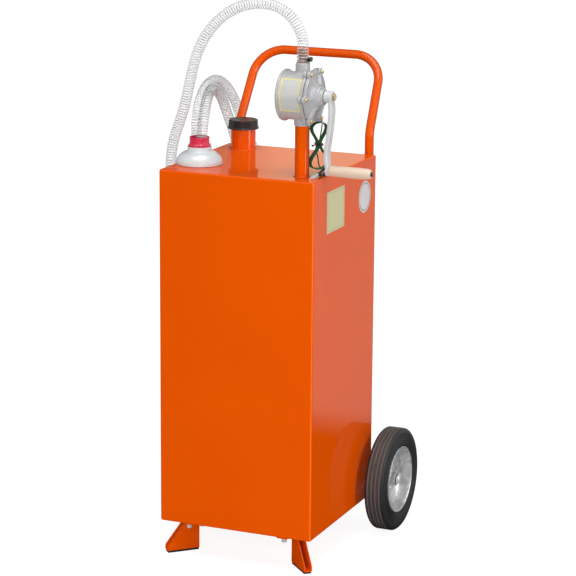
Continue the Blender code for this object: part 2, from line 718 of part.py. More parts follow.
def pump(frame, shaft_frame):
    """Body, gasket, cover, screws, rotor, vanes, shaft and seal. Both frames have Z along the pump's axis."""
    turns = ear_turns()
    flange_back = DRUM_LENGTH - FLANGE_THICKNESS
    body = piece("pump_body", lathe((
        (0, 0), (REAR_RIM_RADIUS - DRUM_CHAMFER, 0), (REAR_RIM_RADIUS - DRUM_CHAMFER / 3, DRUM_CHAMFER / 2),
        (REAR_RIM_RADIUS - DRUM_CHAMFER / 3, REAR_RIM_LENGTH), (DRUM_RADIUS, REAR_RIM_LENGTH + DRUM_CHAMFER / 2),
        (DRUM_RADIUS, flange_back - DRUM_CHAMFER / 2), (FLANGE_RADIUS, flange_back), (FLANGE_RADIUS, DRUM_LENGTH),
        (0, DRUM_LENGTH),
    ), turns, eared), "cast", frame)
    down = Matrix.Rotation(math.pi / 2, 4, "Y")
    up = Matrix.Rotation(-math.pi / 2, 4, "Y")
    port = (0, 0, PORT_FROM_BACK)
    root_of_port = (CHAMBER_RADIUS + DRUM_RADIUS) / 2
    weld(body, "inlet_boss", lathe((
        (0, root_of_port), (INLET_RADIUS, root_of_port), (INLET_RADIUS, INLET_DROP - OVERRUN / 2),
        (INLET_RADIUS - OVERRUN / 2, INLET_DROP), (0, INLET_DROP),
    ), even(20)), port, down)
    weld(body, "outlet_boss", lathe((
        (0, root_of_port), (OUTLET_RADIUS, root_of_port), (OUTLET_RADIUS, OUTLET_RISE - OVERRUN / 2),
        (OUTLET_RADIUS - OVERRUN / 2, OUTLET_RISE), (0, OUTLET_RISE),
    ), even(20)), port, up)
    cut(body, "chamber", rod(CHAMBER_RADIUS, REAR_WALL, DRUM_LENGTH + OVERRUN, 32))
    cut(body, "inlet_bore", rod(INLET_BORE_RADIUS, CHAMBER_RADIUS / 2, INLET_DROP + OVERRUN, 16), port, down)
    cut(body, "inlet_socket", rod(PIPE_RADIUS + SEAT, INLET_DROP - SOCKET_DEPTH, INLET_DROP + OVERRUN, 20), port, down)
    cut(body, "outlet_bore", rod(OUTLET_BORE_RADIUS, CHAMBER_RADIUS / 2, OUTLET_RISE + OVERRUN, 16), port, up)
    seat_depth = OUTLET_RISE - SPOUT_BASE_DEPTH - SEAT
    cut(body, "outlet_socket", rod(SPOUT_BASE_RADIUS + SEAT, seat_depth, OUTLET_RISE + OVERRUN, 16), port, up)
    blind = REAR_WALL - SHAFT_BLIND - SEAT
    cut(body, "shaft_blind", rod(SHAFT_RADIUS + SEAT, blind, REAR_WALL + OVERRUN, 16), (0, 0, 0), None, shaft_frame)

    low = DRUM_LENGTH + SEAT
    joint = piece("pump_gasket", lathe((
        (CHAMBER_RADIUS, low), (FLANGE_RADIUS, low), (FLANGE_RADIUS, low + JOINT_THICKNESS),
        (CHAMBER_RADIUS, low + JOINT_THICKNESS),
    ), turns, eared), "fibre", frame)

    dome = COVER_FRONT + DOME_HEIGHT
    boss = dome + BOSS_HEIGHT
    cover = piece("pump_cover", lathe((
        (0, COVER_BACK), (FLANGE_RADIUS, COVER_BACK), (FLANGE_RADIUS, COVER_FRONT), (DOME_RADIUS, COVER_FRONT),
        (DOME_TOP_RADIUS, dome), (BOSS_RADIUS, dome), (BOSS_RADIUS, boss), (NOSE_RADIUS, boss),
        (NOSE_RADIUS, NOSE_FRONT), (0, NOSE_FRONT),
    ), turns, eared), "cast", frame)
    run = SCREW_CIRCLE - SCREW_HEAD_RADIUS
    rib = (
        (BOSS_RADIUS / 2, COVER_BACK + COVER_PLATE / 2), (run, COVER_BACK + COVER_PLATE / 2),
        (run, COVER_FRONT + RIB_HEIGHT / 3), (DOME_RADIUS, COVER_FRONT + RIB_HEIGHT * 2 / 3),
        (DOME_TOP_RADIUS, dome + RIB_HEIGHT / 2), (BOSS_RADIUS / 2, dome + RIB_HEIGHT / 2),
    )
    for number, place in enumerate(screw_places(), 1):
        turn = Matrix.Rotation(math.atan2(place[1], place[0]), 4, "Z") @ Matrix.Rotation(math.pi / 2, 4, "X")
        weld(cover, "rib_%d" % number, prism(rib, -RIB_WIDTH / 2, RIB_WIDTH / 2), (0, 0, 0), turn)
    cut(cover, "cover_bore", rod(SHAFT_RADIUS + SEAT, COVER_BACK - OVERRUN, NOSE_FRONT + OVERRUN, 16),
        (0, 0, 0), None, shaft_frame)
    seal_back = NOSE_FRONT - SEAL_RING_LENGTH
    cut(cover, "seal_pocket", rod(SEAL_RING_RADIUS + SEAT, seal_back - SEAT, NOSE_FRONT + OVERRUN, 16),
        (0, 0, 0), None, shaft_frame)
    hole = SCREW_RADIUS + SCREW_CLEARANCE
    for number, place in enumerate(screw_places(), 1):
        bottom = COVER_FRONT - SCREW_REACH - SEAT
        cut(body, "body_hole_%d" % number, rod(hole, bottom, DRUM_LENGTH + OVERRUN, 8), place)
        cut(joint, "gasket_hole_%d" % number, rod(hole, low - OVERRUN, low + OVERRUN, 8), place)
        cut(cover, "cover_hole_%d" % number, rod(hole, COVER_BACK - OVERRUN, COVER_FRONT + RIB_HEIGHT, 8), place)
        head = COVER_FRONT + SEAT
        screw = (
            (0, COVER_FRONT - SCREW_REACH), (SCREW_RADIUS, COVER_FRONT - SCREW_REACH), (SCREW_RADIUS, head),
            (SCREW_HEAD_RADIUS, head), (SCREW_HEAD_RADIUS, head + SCREW_HEAD_HEIGHT / 2),
            (SCREW_HEAD_RADIUS * 2 / 3, head + SCREW_HEAD_HEIGHT), (0, head + SCREW_HEAD_HEIGHT),
        )
        piece("cover_screw_%d" % number, lathe(screw, even(6)), "brass", frame, place)

    rotor_back = REAR_WALL + ROTOR_END_GAP
    rotor_front = COVER_BACK - ROTOR_END_GAP
    bore = SHAFT_RADIUS + SEAT
    rotor = piece("pump_rotor", lathe((
        (bore, rotor_back), (ROTOR_RADIUS, rotor_back), (ROTOR_RADIUS, rotor_front), (bore, rotor_front),
    ), even(28)), "steel", shaft_frame)
    slot = VANE_THICKNESS / 2 + SEAT
    bottom = VANE_REACH - VANE_LENGTH - SLOT_BOTTOM_GAP
    for number, side in enumerate((-1, 1), 1):
        flip = Matrix.Rotation(math.pi / 2 * (1 - side), 4, "Z")
        groove = slab((bottom, -slot, rotor_back - OVERRUN), (ROTOR_RADIUS + OVERRUN, slot, rotor_front + OVERRUN))
        cut(rotor, "slot_%d" % number, groove, (0, 0, 0), flip)
        vane = slab(
            (VANE_REACH - VANE_LENGTH, -VANE_THICKNESS / 2, rotor_back),
            (VANE_REACH, VANE_THICKNESS / 2, rotor_front),
        )
        piece("vane_%d" % number, vane, "fibre", shaft_frame, (0, 0, 0), flip)
    thread = HUB_FRONT + SEAT
    tip = thread + CRANK_NUT_LENGTH
    start = REAR_WALL - SHAFT_BLIND
    piece("pump_shaft", lathe((
        (0, start), (SHAFT_RADIUS, start), (SHAFT_RADIUS, HUB_FRONT), (THREAD_RADIUS, HUB_FRONT),
        (THREAD_RADIUS, tip), (0, tip),
    ), even(16)), "steel", shaft_frame)
    piece("shaft_seal", lathe((
        (bore, seal_back), (SEAL_RING_RADIUS, seal_back), (SEAL_RING_RADIUS, NOSE_FRONT), (bore, NOSE_FRONT),
    ), even(16)), "rubber", shaft_frame)


def crank(frame):
    """Arm, nut, grip and pin. The frame lies on the shaft, at the hub's back, with Z along it and X down."""
    loops = []
    for drop, out in ARM_SHARES:
        half = (ARM_HUB_WIDTH + (ARM_END_WIDTH - ARM_HUB_WIDTH) * drop) / 2
        x, z = drop * CRANK_THROW, out * HUB_LENGTH
        outline = []
        for y, rise in (
            (-half, -1), (-half, 1), (ARM_EDGE - half, 2), (half - ARM_EDGE, 2), (half, 1), (half, -1),
            (half - ARM_EDGE, -2), (ARM_EDGE - half, -2),
        ):
            depth = ARM_THICKNESS / 2 if abs(rise) == 2 else ARM_THICKNESS / 2 - ARM_EDGE
            outline.append((x, y, z + math.copysign(depth, rise)))
        loops.append(outline)
    arm = piece("crank_arm", loft(loops), "cast", frame)
    hub = (
        (0, 0), (HUB_RADIUS, 0), (HUB_RADIUS, HUB_LENGTH - ARM_EDGE / 2), (HUB_RADIUS - ARM_EDGE / 2, HUB_LENGTH),
        (0, HUB_LENGTH),
    )
    weld(arm, "hub_boss", lathe(hub, even(20)))
    end = (CRANK_THROW, 0, ARM_X)
    weld(arm, "end_boss", rod(END_BOSS_RADIUS, -ARM_THICKNESS / 2, ARM_THICKNESS / 2, 16), end)
    cut(arm, "hub_bore", rod(SHAFT_RADIUS + SEAT, -OVERRUN, HUB_LENGTH + OVERRUN, 16))
    cut(arm, "end_bore", rod(GRIP_PIN_RADIUS + SEAT, -ARM_THICKNESS, ARM_THICKNESS, 12), end)
    low = HUB_LENGTH + SEAT
    high = low + CRANK_NUT_LENGTH
    inner = THREAD_RADIUS + SEAT
    piece("crank_nut", lathe((
        (inner, low), (CRANK_NUT_RADIUS, low), (CRANK_NUT_RADIUS, high - ARM_EDGE / 2),
        (CRANK_NUT_RADIUS - ARM_EDGE / 2, high), (inner, high),
    ), even(12)), "brass", frame)
    bore = GRIP_PIN_RADIUS + SEAT
    grip = [(bore, 0)] + [(width * GRIP_RADIUS, share * GRIP_LENGTH) for share, width in GRIP_SHARES]
    grip.append((bore, GRIP_LENGTH))
    piece("crank_grip", lathe(grip, even(18)), "wood", frame, (CRANK_THROW, 0, GRIP_BACK))
    back = ARM_X - ARM_THICKNESS / 2 - SEAT
    head = GRIP_BACK + GRIP_LENGTH + SEAT
    piece("grip_pin", lathe((
        (0, back - GRIP_PIN_RIVET), (GRIP_PIN_HEAD_RADIUS * 2 / 3, back - GRIP_PIN_RIVET),
        (GRIP_PIN_HEAD_RADIUS, back), (GRIP_PIN_RADIUS, back), (GRIP_PIN_RADIUS, head),
        (GRIP_PIN_HEAD_RADIUS, head), (GRIP_PIN_HEAD_RADIUS, head + GRIP_PIN_HEAD * 2 / 3),
        (GRIP_PIN_HEAD_RADIUS * 2 / 3, head + GRIP_PIN_HEAD), (0, head + GRIP_PIN_HEAD),
    ), even(12)), "steel", frame, (CRANK_THROW, 0, 0))


def outlet(root):
    """Barbed spout, the end of the hose pushed over it, and the clamp. Heights are from the outlet's face."""
    face = DRUM_Z + OUTLET_RISE
    place = (RISER_X, RISER_Y, face)
    barb = HOSE_BORE_RADIUS - SEAT
    pitch = (SPOUT_REACH - SEAT) / SPOUT_BARBS
    spout = [
        (SPOUT_BORE_RADIUS, -SPOUT_BASE_DEPTH), (SPOUT_BASE_RADIUS, -SPOUT_BASE_DEPTH), (SPOUT_BASE_RADIUS, -SEAT),
        (barb, -SEAT),
    ]
    for number in range(SPOUT_BARBS):
        spout.append((barb, pitch * (number + 0.25)))
        spout.append((SPOUT_ROOT_RADIUS, pitch * (number + 1)))
    spout.append((SPOUT_BORE_RADIUS, SPOUT_REACH - SEAT))
    piece("outlet_spout", lathe(spout, even(16)), "brass", root, place)
    piece("hose_end", lathe((
        (HOSE_BORE_RADIUS, SEAT), (HOSE_RADIUS, SEAT), (HOSE_RADIUS, SPOUT_REACH), (HOSE_BORE_RADIUS, SPOUT_REACH),
    ), even(20)), "clear", root, place)
    inner = HOSE_RADIUS + SEAT
    band = inner + CLAMP_BAND
    high = CLAMP_RISE + CLAMP_WIDTH
    clamp = piece("hose_clamp", lathe((
        (inner, CLAMP_RISE), (band, CLAMP_RISE), (band, high), (inner, high),
    ), even(20)), "steel", root, place)
    half = CLAMP_BOX_LENGTH / 2
    box = slab(
        (inner + CLAMP_BAND / 2, -half, CLAMP_RISE + CLAMP_BAND), (band + CLAMP_BOX_DEPTH, half, high - CLAMP_BAND),
    )
    weld(clamp, "clamp_box", box, place)
    middle = CLAMP_RISE + CLAMP_WIDTH / 2
    axis = band + CLAMP_BOX_DEPTH / 2
    bore = rod(CLAMP_SCREW_RADIUS + SEAT, -half - OVERRUN, half + OVERRUN, 12)
    across = (RISER_X + axis, RISER_Y, face + middle)
    cut(clamp, "clamp_bore", bore, across, TO_BACK)
    head = half + SEAT
    screw = (
        (0, -half - CLAMP_SCREW_TAIL), (CLAMP_SCREW_RADIUS, -half - CLAMP_SCREW_TAIL), (CLAMP_SCREW_RADIUS, head),
        (CLAMP_HEAD_RADIUS, head), (CLAMP_HEAD_RADIUS, head + CLAMP_HEAD_LENGTH), (0, head + CLAMP_HEAD_LENGTH),
    )
    piece("clamp_screw", lathe(screw, even(12)), "dark_steel", root, across, Matrix.Rotation(math.pi / 2, 4, "X"))


def bell(root):
    """Spun bell that stands on the tank, and the collar on its neck."""
    place = (BELL_SIDE_INSET - HALF_W, BELL_FRONT_INSET - HALF_D, TOP + SEAT)
    outside = [(share * BELL_RADIUS, rise * BELL_HEIGHT) for share, rise in BELL_SHARES]
    neck_top = BELL_HEIGHT + BELL_NECK_HEIGHT
    inside = [(BELL_NECK_RADIUS - BELL_WALL, neck_top), (BELL_NECK_RADIUS - BELL_WALL, BELL_HEIGHT)]
    for share, rise in reversed(BELL_SHARES[2:-1:2]):
        inside.append((share * BELL_RADIUS - BELL_WALL, rise * BELL_HEIGHT - BELL_WALL / 2))
    inside.append((BELL_RADIUS - BELL_WALL, 0))
    profile = outside + [(BELL_NECK_RADIUS, BELL_HEIGHT + BELL_WALL / 2), (BELL_NECK_RADIUS, neck_top)] + inside
    piece("drip_bell", lathe(profile, even(28)), "silver", root, place)
    spigot = BELL_NECK_RADIUS - BELL_WALL - SEAT
    low = neck_top + SEAT
    collar = (
        (COLLAR_BORE_RADIUS, neck_top - COLLAR_SPIGOT), (spigot, neck_top - COLLAR_SPIGOT), (spigot, low),
        (COLLAR_FLANGE_RADIUS, low), (COLLAR_FLANGE_RADIUS, low + COLLAR_FLANGE - COLLAR_EDGE),
        (COLLAR_FLANGE_RADIUS - COLLAR_EDGE, low + COLLAR_FLANGE), (COLLAR_RADIUS, low + COLLAR_FLANGE),
        (COLLAR_RADIUS, low + COLLAR_HEIGHT - COLLAR_EDGE), (COLLAR_RADIUS - COLLAR_EDGE, low + COLLAR_HEIGHT),
        (COLLAR_BORE_RADIUS, low + COLLAR_HEIGHT),
    )
    piece("bell_collar", lathe(collar, even(28)), "red", root, place)


def handle(root):
    """One bent tube up the back wall, leaning back over the wheels."""
    y = HALF_D + SEAT + HANDLE_RADIUS
    sin, cos = math.sin(HANDLE_LEAN), math.cos(HANDLE_LEAN)
    knee = Vector((HANDLE_HALF, y, TOP + HANDLE_STRAIGHT))
    up = Vector((0, 0, 1))
    back = Vector((-HANDLE_TAPER / (HANDLE_LEAN_LENGTH - HANDLE_CORNER), sin, cos)).normalized()
    across = Vector((-1, 0, 0))
    corner = knee + back * HANDLE_LEAN_LENGTH
    right = [Vector((HANDLE_HALF, y, TOP - HANDLE_TAIL))]
    right += arc(knee, up, back, HANDLE_LEAN_BEND, 2)
    right += arc(corner, back, across, HANDLE_CORNER, 6)
    left = [Vector((-spot.x, spot.y, spot.z)) for spot in reversed(right)]
    path = right + left
    bar = piece("handle_tube", tube(path, HANDLE_RADIUS, HANDLE_RADIUS - HANDLE_WALL, 12), "paint", root)
    number = 0
    for side in (-1, 1):
        for drop in HANDLE_BOLT_DROPS:
            number += 1
            place = (side * HANDLE_HALF, y, TOP - drop)
            hole = rod(BOLT_RADIUS + BOLT_CLEARANCE, -HANDLE_RADIUS - OVERRUN, HANDLE_RADIUS + OVERRUN, 8)
            cut(bar, "handle_hole_%d" % number, hole, place, TO_BACK)
            tip = -(HANDLE_RADIUS + SEAT + BOSS_PLUG_DEPTH - SHEET - BOLT_TIP_GAP)
            head = HANDLE_RADIUS + SEAT
            bolt = (
                (0, tip), (BOLT_RADIUS, tip), (BOLT_RADIUS, head), (BOLT_HEAD_RADIUS, head),
                (BOLT_HEAD_RADIUS, head + BOLT_HEAD), (0, head + BOLT_HEAD),
            )
            piece("handle_bolt_%d" % number, lathe(bolt, even(8)), "steel", root, place, TO_BACK)


def arc(corner, before, after, radius, steps):
    """Points round a bend of a given radius between two directions that meet at a corner."""
    angle = before.angle(after)
    run = radius * math.tan(angle / 2)
    start = corner - before * run
    inward = (after - before * before.dot(after)).normalized()
    centre = start + inward * radius
    points = []
    for step in range(steps + 1):
        turn = angle * step / steps
        points.append(centre + radius * (math.sin(turn) * before - math.cos(turn) * inward))
    return points


def wheels(root):
    """Axle on two brackets, and a wheel on each end."""
    axle_z = WHEEL_RADIUS
    nut_face = WHEEL_X + HUB_OUTBOARD + WHEEL_END_PLAY
    half = nut_face + AXLE_NUT_LENGTH + AXLE_END
    piece("axle", lathe((
        (0, -half), (AXLE_RADIUS - AXLE_END, -half), (AXLE_RADIUS, AXLE_END - half), (AXLE_RADIUS, half - AXLE_END),
        (AXLE_RADIUS - AXLE_END, half), (0, half),
    ), even(16)), "chromed", root, (0, AXLE_Y, axle_z), TO_X)
    half_width = WHEEL_WIDTH / 2
    tread = [(BEAD_RADIUS + share * (WHEEL_RADIUS - BEAD_RADIUS), width * half_width) for share, width in TYRE_SHARES]
    tyre = [(radius, -out) for radius, out in tread] + [(radius, out) for radius, out in reversed(tread)]
    seat = BEAD_RADIUS - SEAT
    inner = seat - RIM_THICKNESS
    brim = half_width - RIM_LIP / 2
    dish = -half_width / 3
    hub_face = dish + RIM_THICKNESS * 2
    rim = (
        (seat, RIM_LIP - half_width), (inner, RIM_LIP - half_width),
        (inner, dish - RIM_THICKNESS), (inner - RIM_LIP, dish - RIM_THICKNESS * 2),
        (HUB_OUTER_RADIUS, hub_face - RIM_THICKNESS),
        (HUB_OUTER_RADIUS, -HUB_INBOARD), (HUB_BORE_RADIUS, -HUB_INBOARD), (HUB_BORE_RADIUS, HUB_OUTBOARD),
        (HUB_OUTER_RADIUS, HUB_OUTBOARD), (HUB_OUTER_RADIUS, hub_face),
        (inner - RIM_LIP, dish - RIM_THICKNESS), (inner - RIM_THICKNESS / 2, dish + RIM_THICKNESS),
        (inner, brim - RIM_LIP), (inner - RIM_THICKNESS / 2, brim), (seat - RIM_THICKNESS / 2, brim + RIM_THICKNESS / 2),
        (seat, brim),
    )
    bush_in = AXLE_RADIUS + BUSH_RUN_GAP
    bush_out = HUB_BORE_RADIUS - SEAT
    sleeve_in = WHEEL_X - HUB_INBOARD - WHEEL_END_PLAY
    for side, word in ((-1, "left"), (1, "right")):
        turn = Matrix.Rotation(side * math.pi / 2, 4, "Y")
        hub = empty("wheel_%s_frame" % word, (side * WHEEL_X, AXLE_Y, axle_z), root, turn)
        piece("tyre_%s" % word, lathe(tyre, even(28)), "rubber", hub)
        piece("rim_%s" % word, lathe(rim, even(28)), "silver", hub)
        piece("hub_bush_%s" % word, lathe((
            (bush_in, -HUB_INBOARD), (bush_out, -HUB_INBOARD), (bush_out, HUB_OUTBOARD), (bush_in, HUB_OUTBOARD),
        ), even(16)), "black_plastic", hub)
        near = HUB_OUTBOARD + WHEEL_END_PLAY
        far = near + AXLE_NUT_LENGTH
        hole = AXLE_RADIUS + SEAT
        piece("axle_nut_%s" % word, lathe((
            (hole, near), (AXLE_NUT_RADIUS, near), (AXLE_NUT_RADIUS, far - AXLE_END),
            (AXLE_NUT_RADIUS - AXLE_END, far), (hole, far),
        ), even(12)), "chromed", hub)
        wall = HALF_D + SEAT
        plate_back = wall + BRACKET_PLATE
        middle = sleeve_in - SLEEVE_LENGTH / 2
        bracket = piece("axle_bracket_%s" % word, slab(
            (side * middle - BRACKET_PLATE_WIDTH / 2, wall, axle_z - BRACKET_PLATE_HALF),
            (side * middle + BRACKET_PLATE_WIDTH / 2, plate_back, axle_z + BRACKET_PLATE_HALF),
        ), "paint", root)
        place = (side * middle, AXLE_Y, axle_z)
        long = SLEEVE_LENGTH / 2
        weld(bracket, "sleeve_%s" % word, rod(SLEEVE_RADIUS, -long, long, 16), place, TO_X)
        web = slab(
            (side * middle - BRACKET_PLATE / 2, plate_back - OVERRUN / 2, axle_z - SLEEVE_RADIUS * 2),
            (side * middle + BRACKET_PLATE / 2, AXLE_Y, axle_z),
        )
        weld(bracket, "web_%s" % word, web)
        cut(bracket, "axle_bore_%s" % word, rod(hole, -long - OVERRUN, long + OVERRUN, 16), place, TO_X)


def feet(root):
    """Two folded feet on the front corners. Each frame has X outwards along the flanges and Z up."""
    for side, word in ((-1, "left"), (1, "right")):
        out = Vector((side, -1, 0)).normalized()
        turn = Matrix.Rotation(math.atan2(out.y, out.x), 4, "Z")
        frame = empty("foot_%s_frame" % word, (side * FOOT_INNER_X, -FOOT_INNER_Y, 0), root, turn)
        # A channel of two flanges, closed at its inner end and open along the slope. The second one is further back.
        wing = side
        low = PAD_THICKNESS + SEAT
        high = TANK_STAND - SEAT
        outline = (
            (0, low), (FOOT_LENGTH, low), (FOOT_LENGTH, low + FOOT_TIP_HEIGHT), (FOOT_TOP_LENGTH, high), (0, high),
        )
        up = Matrix.Rotation(math.pi / 2, 4, "X")
        web_far = -wing * FOOT_SHEET
        far = -wing * FOOT_FLANGE
        web = piece("foot_%s" % word, prism(outline, min(0, far), max(0, far)), "paint", frame, (0, 0, 0), up)
        room_low, room_high = sorted((web_far, far - web_far))
        room = (
            (FOOT_SHEET, low + FOOT_SHEET), (FOOT_LENGTH + OVERRUN, low + FOOT_SHEET),
            (FOOT_LENGTH + OVERRUN, high + OVERRUN), (FOOT_SHEET, high + OVERRUN),
        )
        cut(web, "room_%s" % word, prism(room, room_low, room_high), (0, 0, 0), up)
        near = FOOT_PLATE_DEPTH - FOOT_PLATE_CHAMFER
        wide = FOOT_PLATE_HALF - FOOT_PLATE_CHAMFER
        plate = (
            (-FOOT_PLATE_BACK, -FOOT_PLATE_HALF), (near, -FOOT_PLATE_HALF), (FOOT_PLATE_DEPTH, -wide),
            (FOOT_PLATE_DEPTH, wide), (near, FOOT_PLATE_HALF), (-FOOT_PLATE_BACK, FOOT_PLATE_HALF),
        )
        weld(web, "plate_%s" % word, prism(plate, high - FOOT_SHEET, high))
        side_low, side_high = sorted((wing * PAD_INSET / 4, wing * (FOOT_FLANGE - PAD_INSET)))
        pad = slab((PAD_INSET, side_low, 0), (FOOT_LENGTH - PAD_INSET, side_high, PAD_THICKNESS))
        piece("foot_pad_%s" % word, pad, "rubber", frame)


def hank_line():
    """The hank's points: flat figure-of-eight loops that step back from the front one."""
    along = Vector((math.cos(HANK_HEADING), math.sin(HANK_HEADING), 0))
    front = Vector((math.sin(HANK_HEADING), -math.cos(HANK_HEADING), 0))
    middle = Vector((HANK_X, HANK_Y, TOP + HANK_WAIST))
    count = 24 * HANK_TURNS
    spots = []
    for i in range(count + 1):
        done = i / 24
        t = math.pi / 2 + 2 * math.pi * done
        rise = HANK_UP if math.cos(t) > 0 else HANK_DOWN
        bulge = HANK_UP_BULGE if math.cos(t) > 0 else HANK_DOWN_BULGE
        u = -math.sin(t) * (HANK_WAIST_HALF + bulge * math.cos(t) ** 2)
        z = rise * math.cos(t) * (1 - HANK_PULL_SHARE * math.sin(t) ** 2)
        ease = 0
        for gone, sign in ((done, 1), (HANK_TURNS - done, -1)):
            if gone < 0.5:
                share = 1 - 2 * gone
                ease += sign * HANK_EASE * share * share * (3 - 2 * share)
        w = HANK_STEP * (HANK_TURNS / 2 - done) + ease
        spots.append(middle + u * along + w * front + z * Vector((0, 0, 1)))
    straight = Vector((0, 0, 2 * WIRE_RADIUS))
    return [spots[0] + straight] + spots + [spots[-1] - straight], along, front, middle


def earth(root):
    """The wire from a cover screw, its hank and tie, and the tail to the clip."""
    points, along, front, middle = hank_line()
    cord("earth_hank", [tuple(p) for p in points], WIRE_RADIUS, "green", root, 1)
    apart = 8 * WIRE_RADIUS
    print("earth_hank least gap to itself %.2f mm" % (1000 * self_gap([tuple(p) for p in points], WIRE_RADIUS, apart)))
    start, finish = points[0], points[-1]
    screw = screw_places()[0]
    face = RISER_X - PORT_FROM_BACK + COVER_FRONT
    # A cover screw on the lower back side: the pump's frame has X down and Y to the back.
    under = DRUM_Z - screw[0] - SCREW_HEAD_RADIUS - SEAT * 2
    first = Vector((face + 2 * WIRE_RADIUS, RISER_Y + screw[1], under))
    lead = [
        tuple(first), tuple(first - Vector((0, 0, 4 * WIRE_RADIUS))),
        tuple(first.lerp(start, 0.5)), tuple(start + Vector((0, 0, 8 * WIRE_RADIUS))),
        tuple(start + Vector((0, 0, SEAT))),
    ]
    route, length = smooth_line(lead, 9)
    cord("earth_lead", route, WIRE_RADIUS, "green", root, 2)
    clip_in = Vector((CLIP_REAR_X, CLIP_REAR_Y, TOP + SEAT + 2 * WIRE_RADIUS))
    way = Vector((math.cos(CLIP_TURN), math.sin(CLIP_TURN), 0))
    side = Vector((-way.y, way.x, 0))
    tail = [tuple(finish - Vector((0, 0, SEAT))), tuple(finish - Vector((0, 0, 8 * WIRE_RADIUS)))]
    tail += [tuple(middle + Vector(step)) for step in TAIL_ROUTE]
    tail += [tuple(clip_in - way * 4 * WIRE_RADIUS), tuple(clip_in - way * SEAT)]
    route, length = smooth_line(tail, 24)
    cord("earth_tail", route, WIRE_RADIUS, "green", root, 2)
    half_u = HANK_WAIST_HALF + WIRE_RADIUS + TIE_GAP
    half_w = HANK_STEP * HANK_TURNS / 2 + HANK_EASE + WIRE_RADIUS + TIE_GAP
    shape = bmesh.new()
    rows = []
    for grow, height in ((0, -1), (TIE_WALL, -1), (TIE_WALL, 1), (0, 1)):
        outline = rounded(half_u + grow, half_w + grow, WIRE_RADIUS + grow)
        rows.append([shape.verts.new((x, y, height * TIE_HEIGHT / 2)) for x, y in outline])
    for low, high in zip(rows, rows[1:] + rows[:1]):
        bridge(shape, low, high)
    turn = Matrix.Rotation(HANK_HEADING, 4, "Z")
    piece("hank_tie", shape, "black_plastic", root, middle, turn)
    clip(root, clip_in)


def clip(root, rear):
    """Spring clip with two jaws on a pin. Its frame lies at the pivot, with X to the tips."""
    turn = Matrix.Rotation(CLIP_TURN, 4, "Z")
    way = turn @ Vector((1, 0, 0))
    foot = Vector((rear.x, rear.y, TOP + SEAT))
    frame = empty("clip_frame", foot + way * CLIP_PIVOT + Vector((0, 0, CLIP_PIVOT_HEIGHT)), root, turn)
    tip = CLIP_LENGTH - CLIP_PIVOT
    half = CLIP_WIDTH / 2
    flat = Matrix.Rotation(math.pi / 2, 4, "X")
    floor = -CLIP_PIVOT_HEIGHT
    lug = CLIP_LUG_RADIUS + SEAT
    nose = floor + CLIP_TIP_HEIGHT
    low_profile = (
        (-CLIP_PIVOT, floor), (0, -lug - CLIP_SHEET), (tip / 3, -lug - CLIP_SHEET), (tip, floor + SEAT),
        (tip, nose - SEAT), (tip - CLIP_SHEET * 2, nose - SEAT), (tip / 3, -lug), (0, -lug),
        (CLIP_SHEET * 4 - CLIP_PIVOT, floor + CLIP_SHEET * 2), (-CLIP_PIVOT, floor + 4 * WIRE_RADIUS),
    )
    lower = piece("clip_jaw_lower", prism(low_profile, -half, half), "dark_steel", frame, (0, 0, 0), flat)
    cheek = (
        (-lug, -lug - CLIP_SHEET / 2), (lug, -lug - CLIP_SHEET / 2), (lug, CLIP_PIN_RADIUS * 2),
        (-lug, CLIP_PIN_RADIUS * 2),
    )
    for number, (a, b) in enumerate(((-half, CLIP_CHEEK - half), (half - CLIP_CHEEK, half)), 1):
        weld(lower, "cheek_%d" % number, prism(cheek, a, b), (0, 0, 0), flat)
    cut(lower, "cheek_bore", rod(CLIP_PIN_RADIUS + SEAT, -CLIP_WIDTH, CLIP_WIDTH, 10), (0, 0, 0), flat)
    rise = CLIP_HANDLE_GAP + floor
    inner = half - CLIP_CHEEK - SEAT
    over = CLIP_PIN_RADIUS * 2 + SEAT
    high_profile = (
        (-CLIP_PIVOT, rise), (-CLIP_LUG_RADIUS * 2, over), (-CLIP_LUG_RADIUS, -CLIP_PIN_RADIUS),
        (0, -CLIP_LUG_RADIUS), (CLIP_LUG_RADIUS, -CLIP_PIN_RADIUS), (tip / 3, SEAT - lug + CLIP_SHEET),
        (tip - CLIP_SHEET * 2, nose + SEAT), (tip, nose + SEAT), (tip, nose + CLIP_SHEET * 2),
        (tip / 3, over + CLIP_SHEET), (-CLIP_LUG_RADIUS * 2, over + CLIP_SHEET), (-CLIP_PIVOT, rise + CLIP_SHEET),
    )
    upper = piece("clip_jaw_upper", prism(high_profile, -inner, inner), "dark_steel", frame, (0, 0, 0), flat)
    cut(upper, "jaw_bore", rod(CLIP_PIN_RADIUS + SEAT, -CLIP_WIDTH, CLIP_WIDTH, 10), (0, 0, 0), flat)
    piece("clip_pin", rod(CLIP_PIN_RADIUS, -half, half, 10), "steel", frame, (0, 0, 0), flat)


def hose(root):
    """The free length of clear hose, from the spout to the bell."""
    places = [(x, y, TOP + z) for x, y, z in HOSE_ROUTE]
    face = DRUM_Z + OUTLET_RISE + SPOUT_REACH + SEAT
    places[0] = (RISER_X, RISER_Y, face + HOSE_RADIUS)
    route, length = smooth_line(places, HOSE_POINTS)
    cord("hose", [(RISER_X, RISER_Y, face)] + route, HOSE_RADIUS, "clear", root, 2)
    print("hose length with its end on the spout %.3f m" % (length + HOSE_RADIUS + SPOUT_REACH))
    print("hose least gap to itself %.2f mm" % (1000 * self_gap(route, HOSE_RADIUS, 8 * HOSE_RADIUS)))


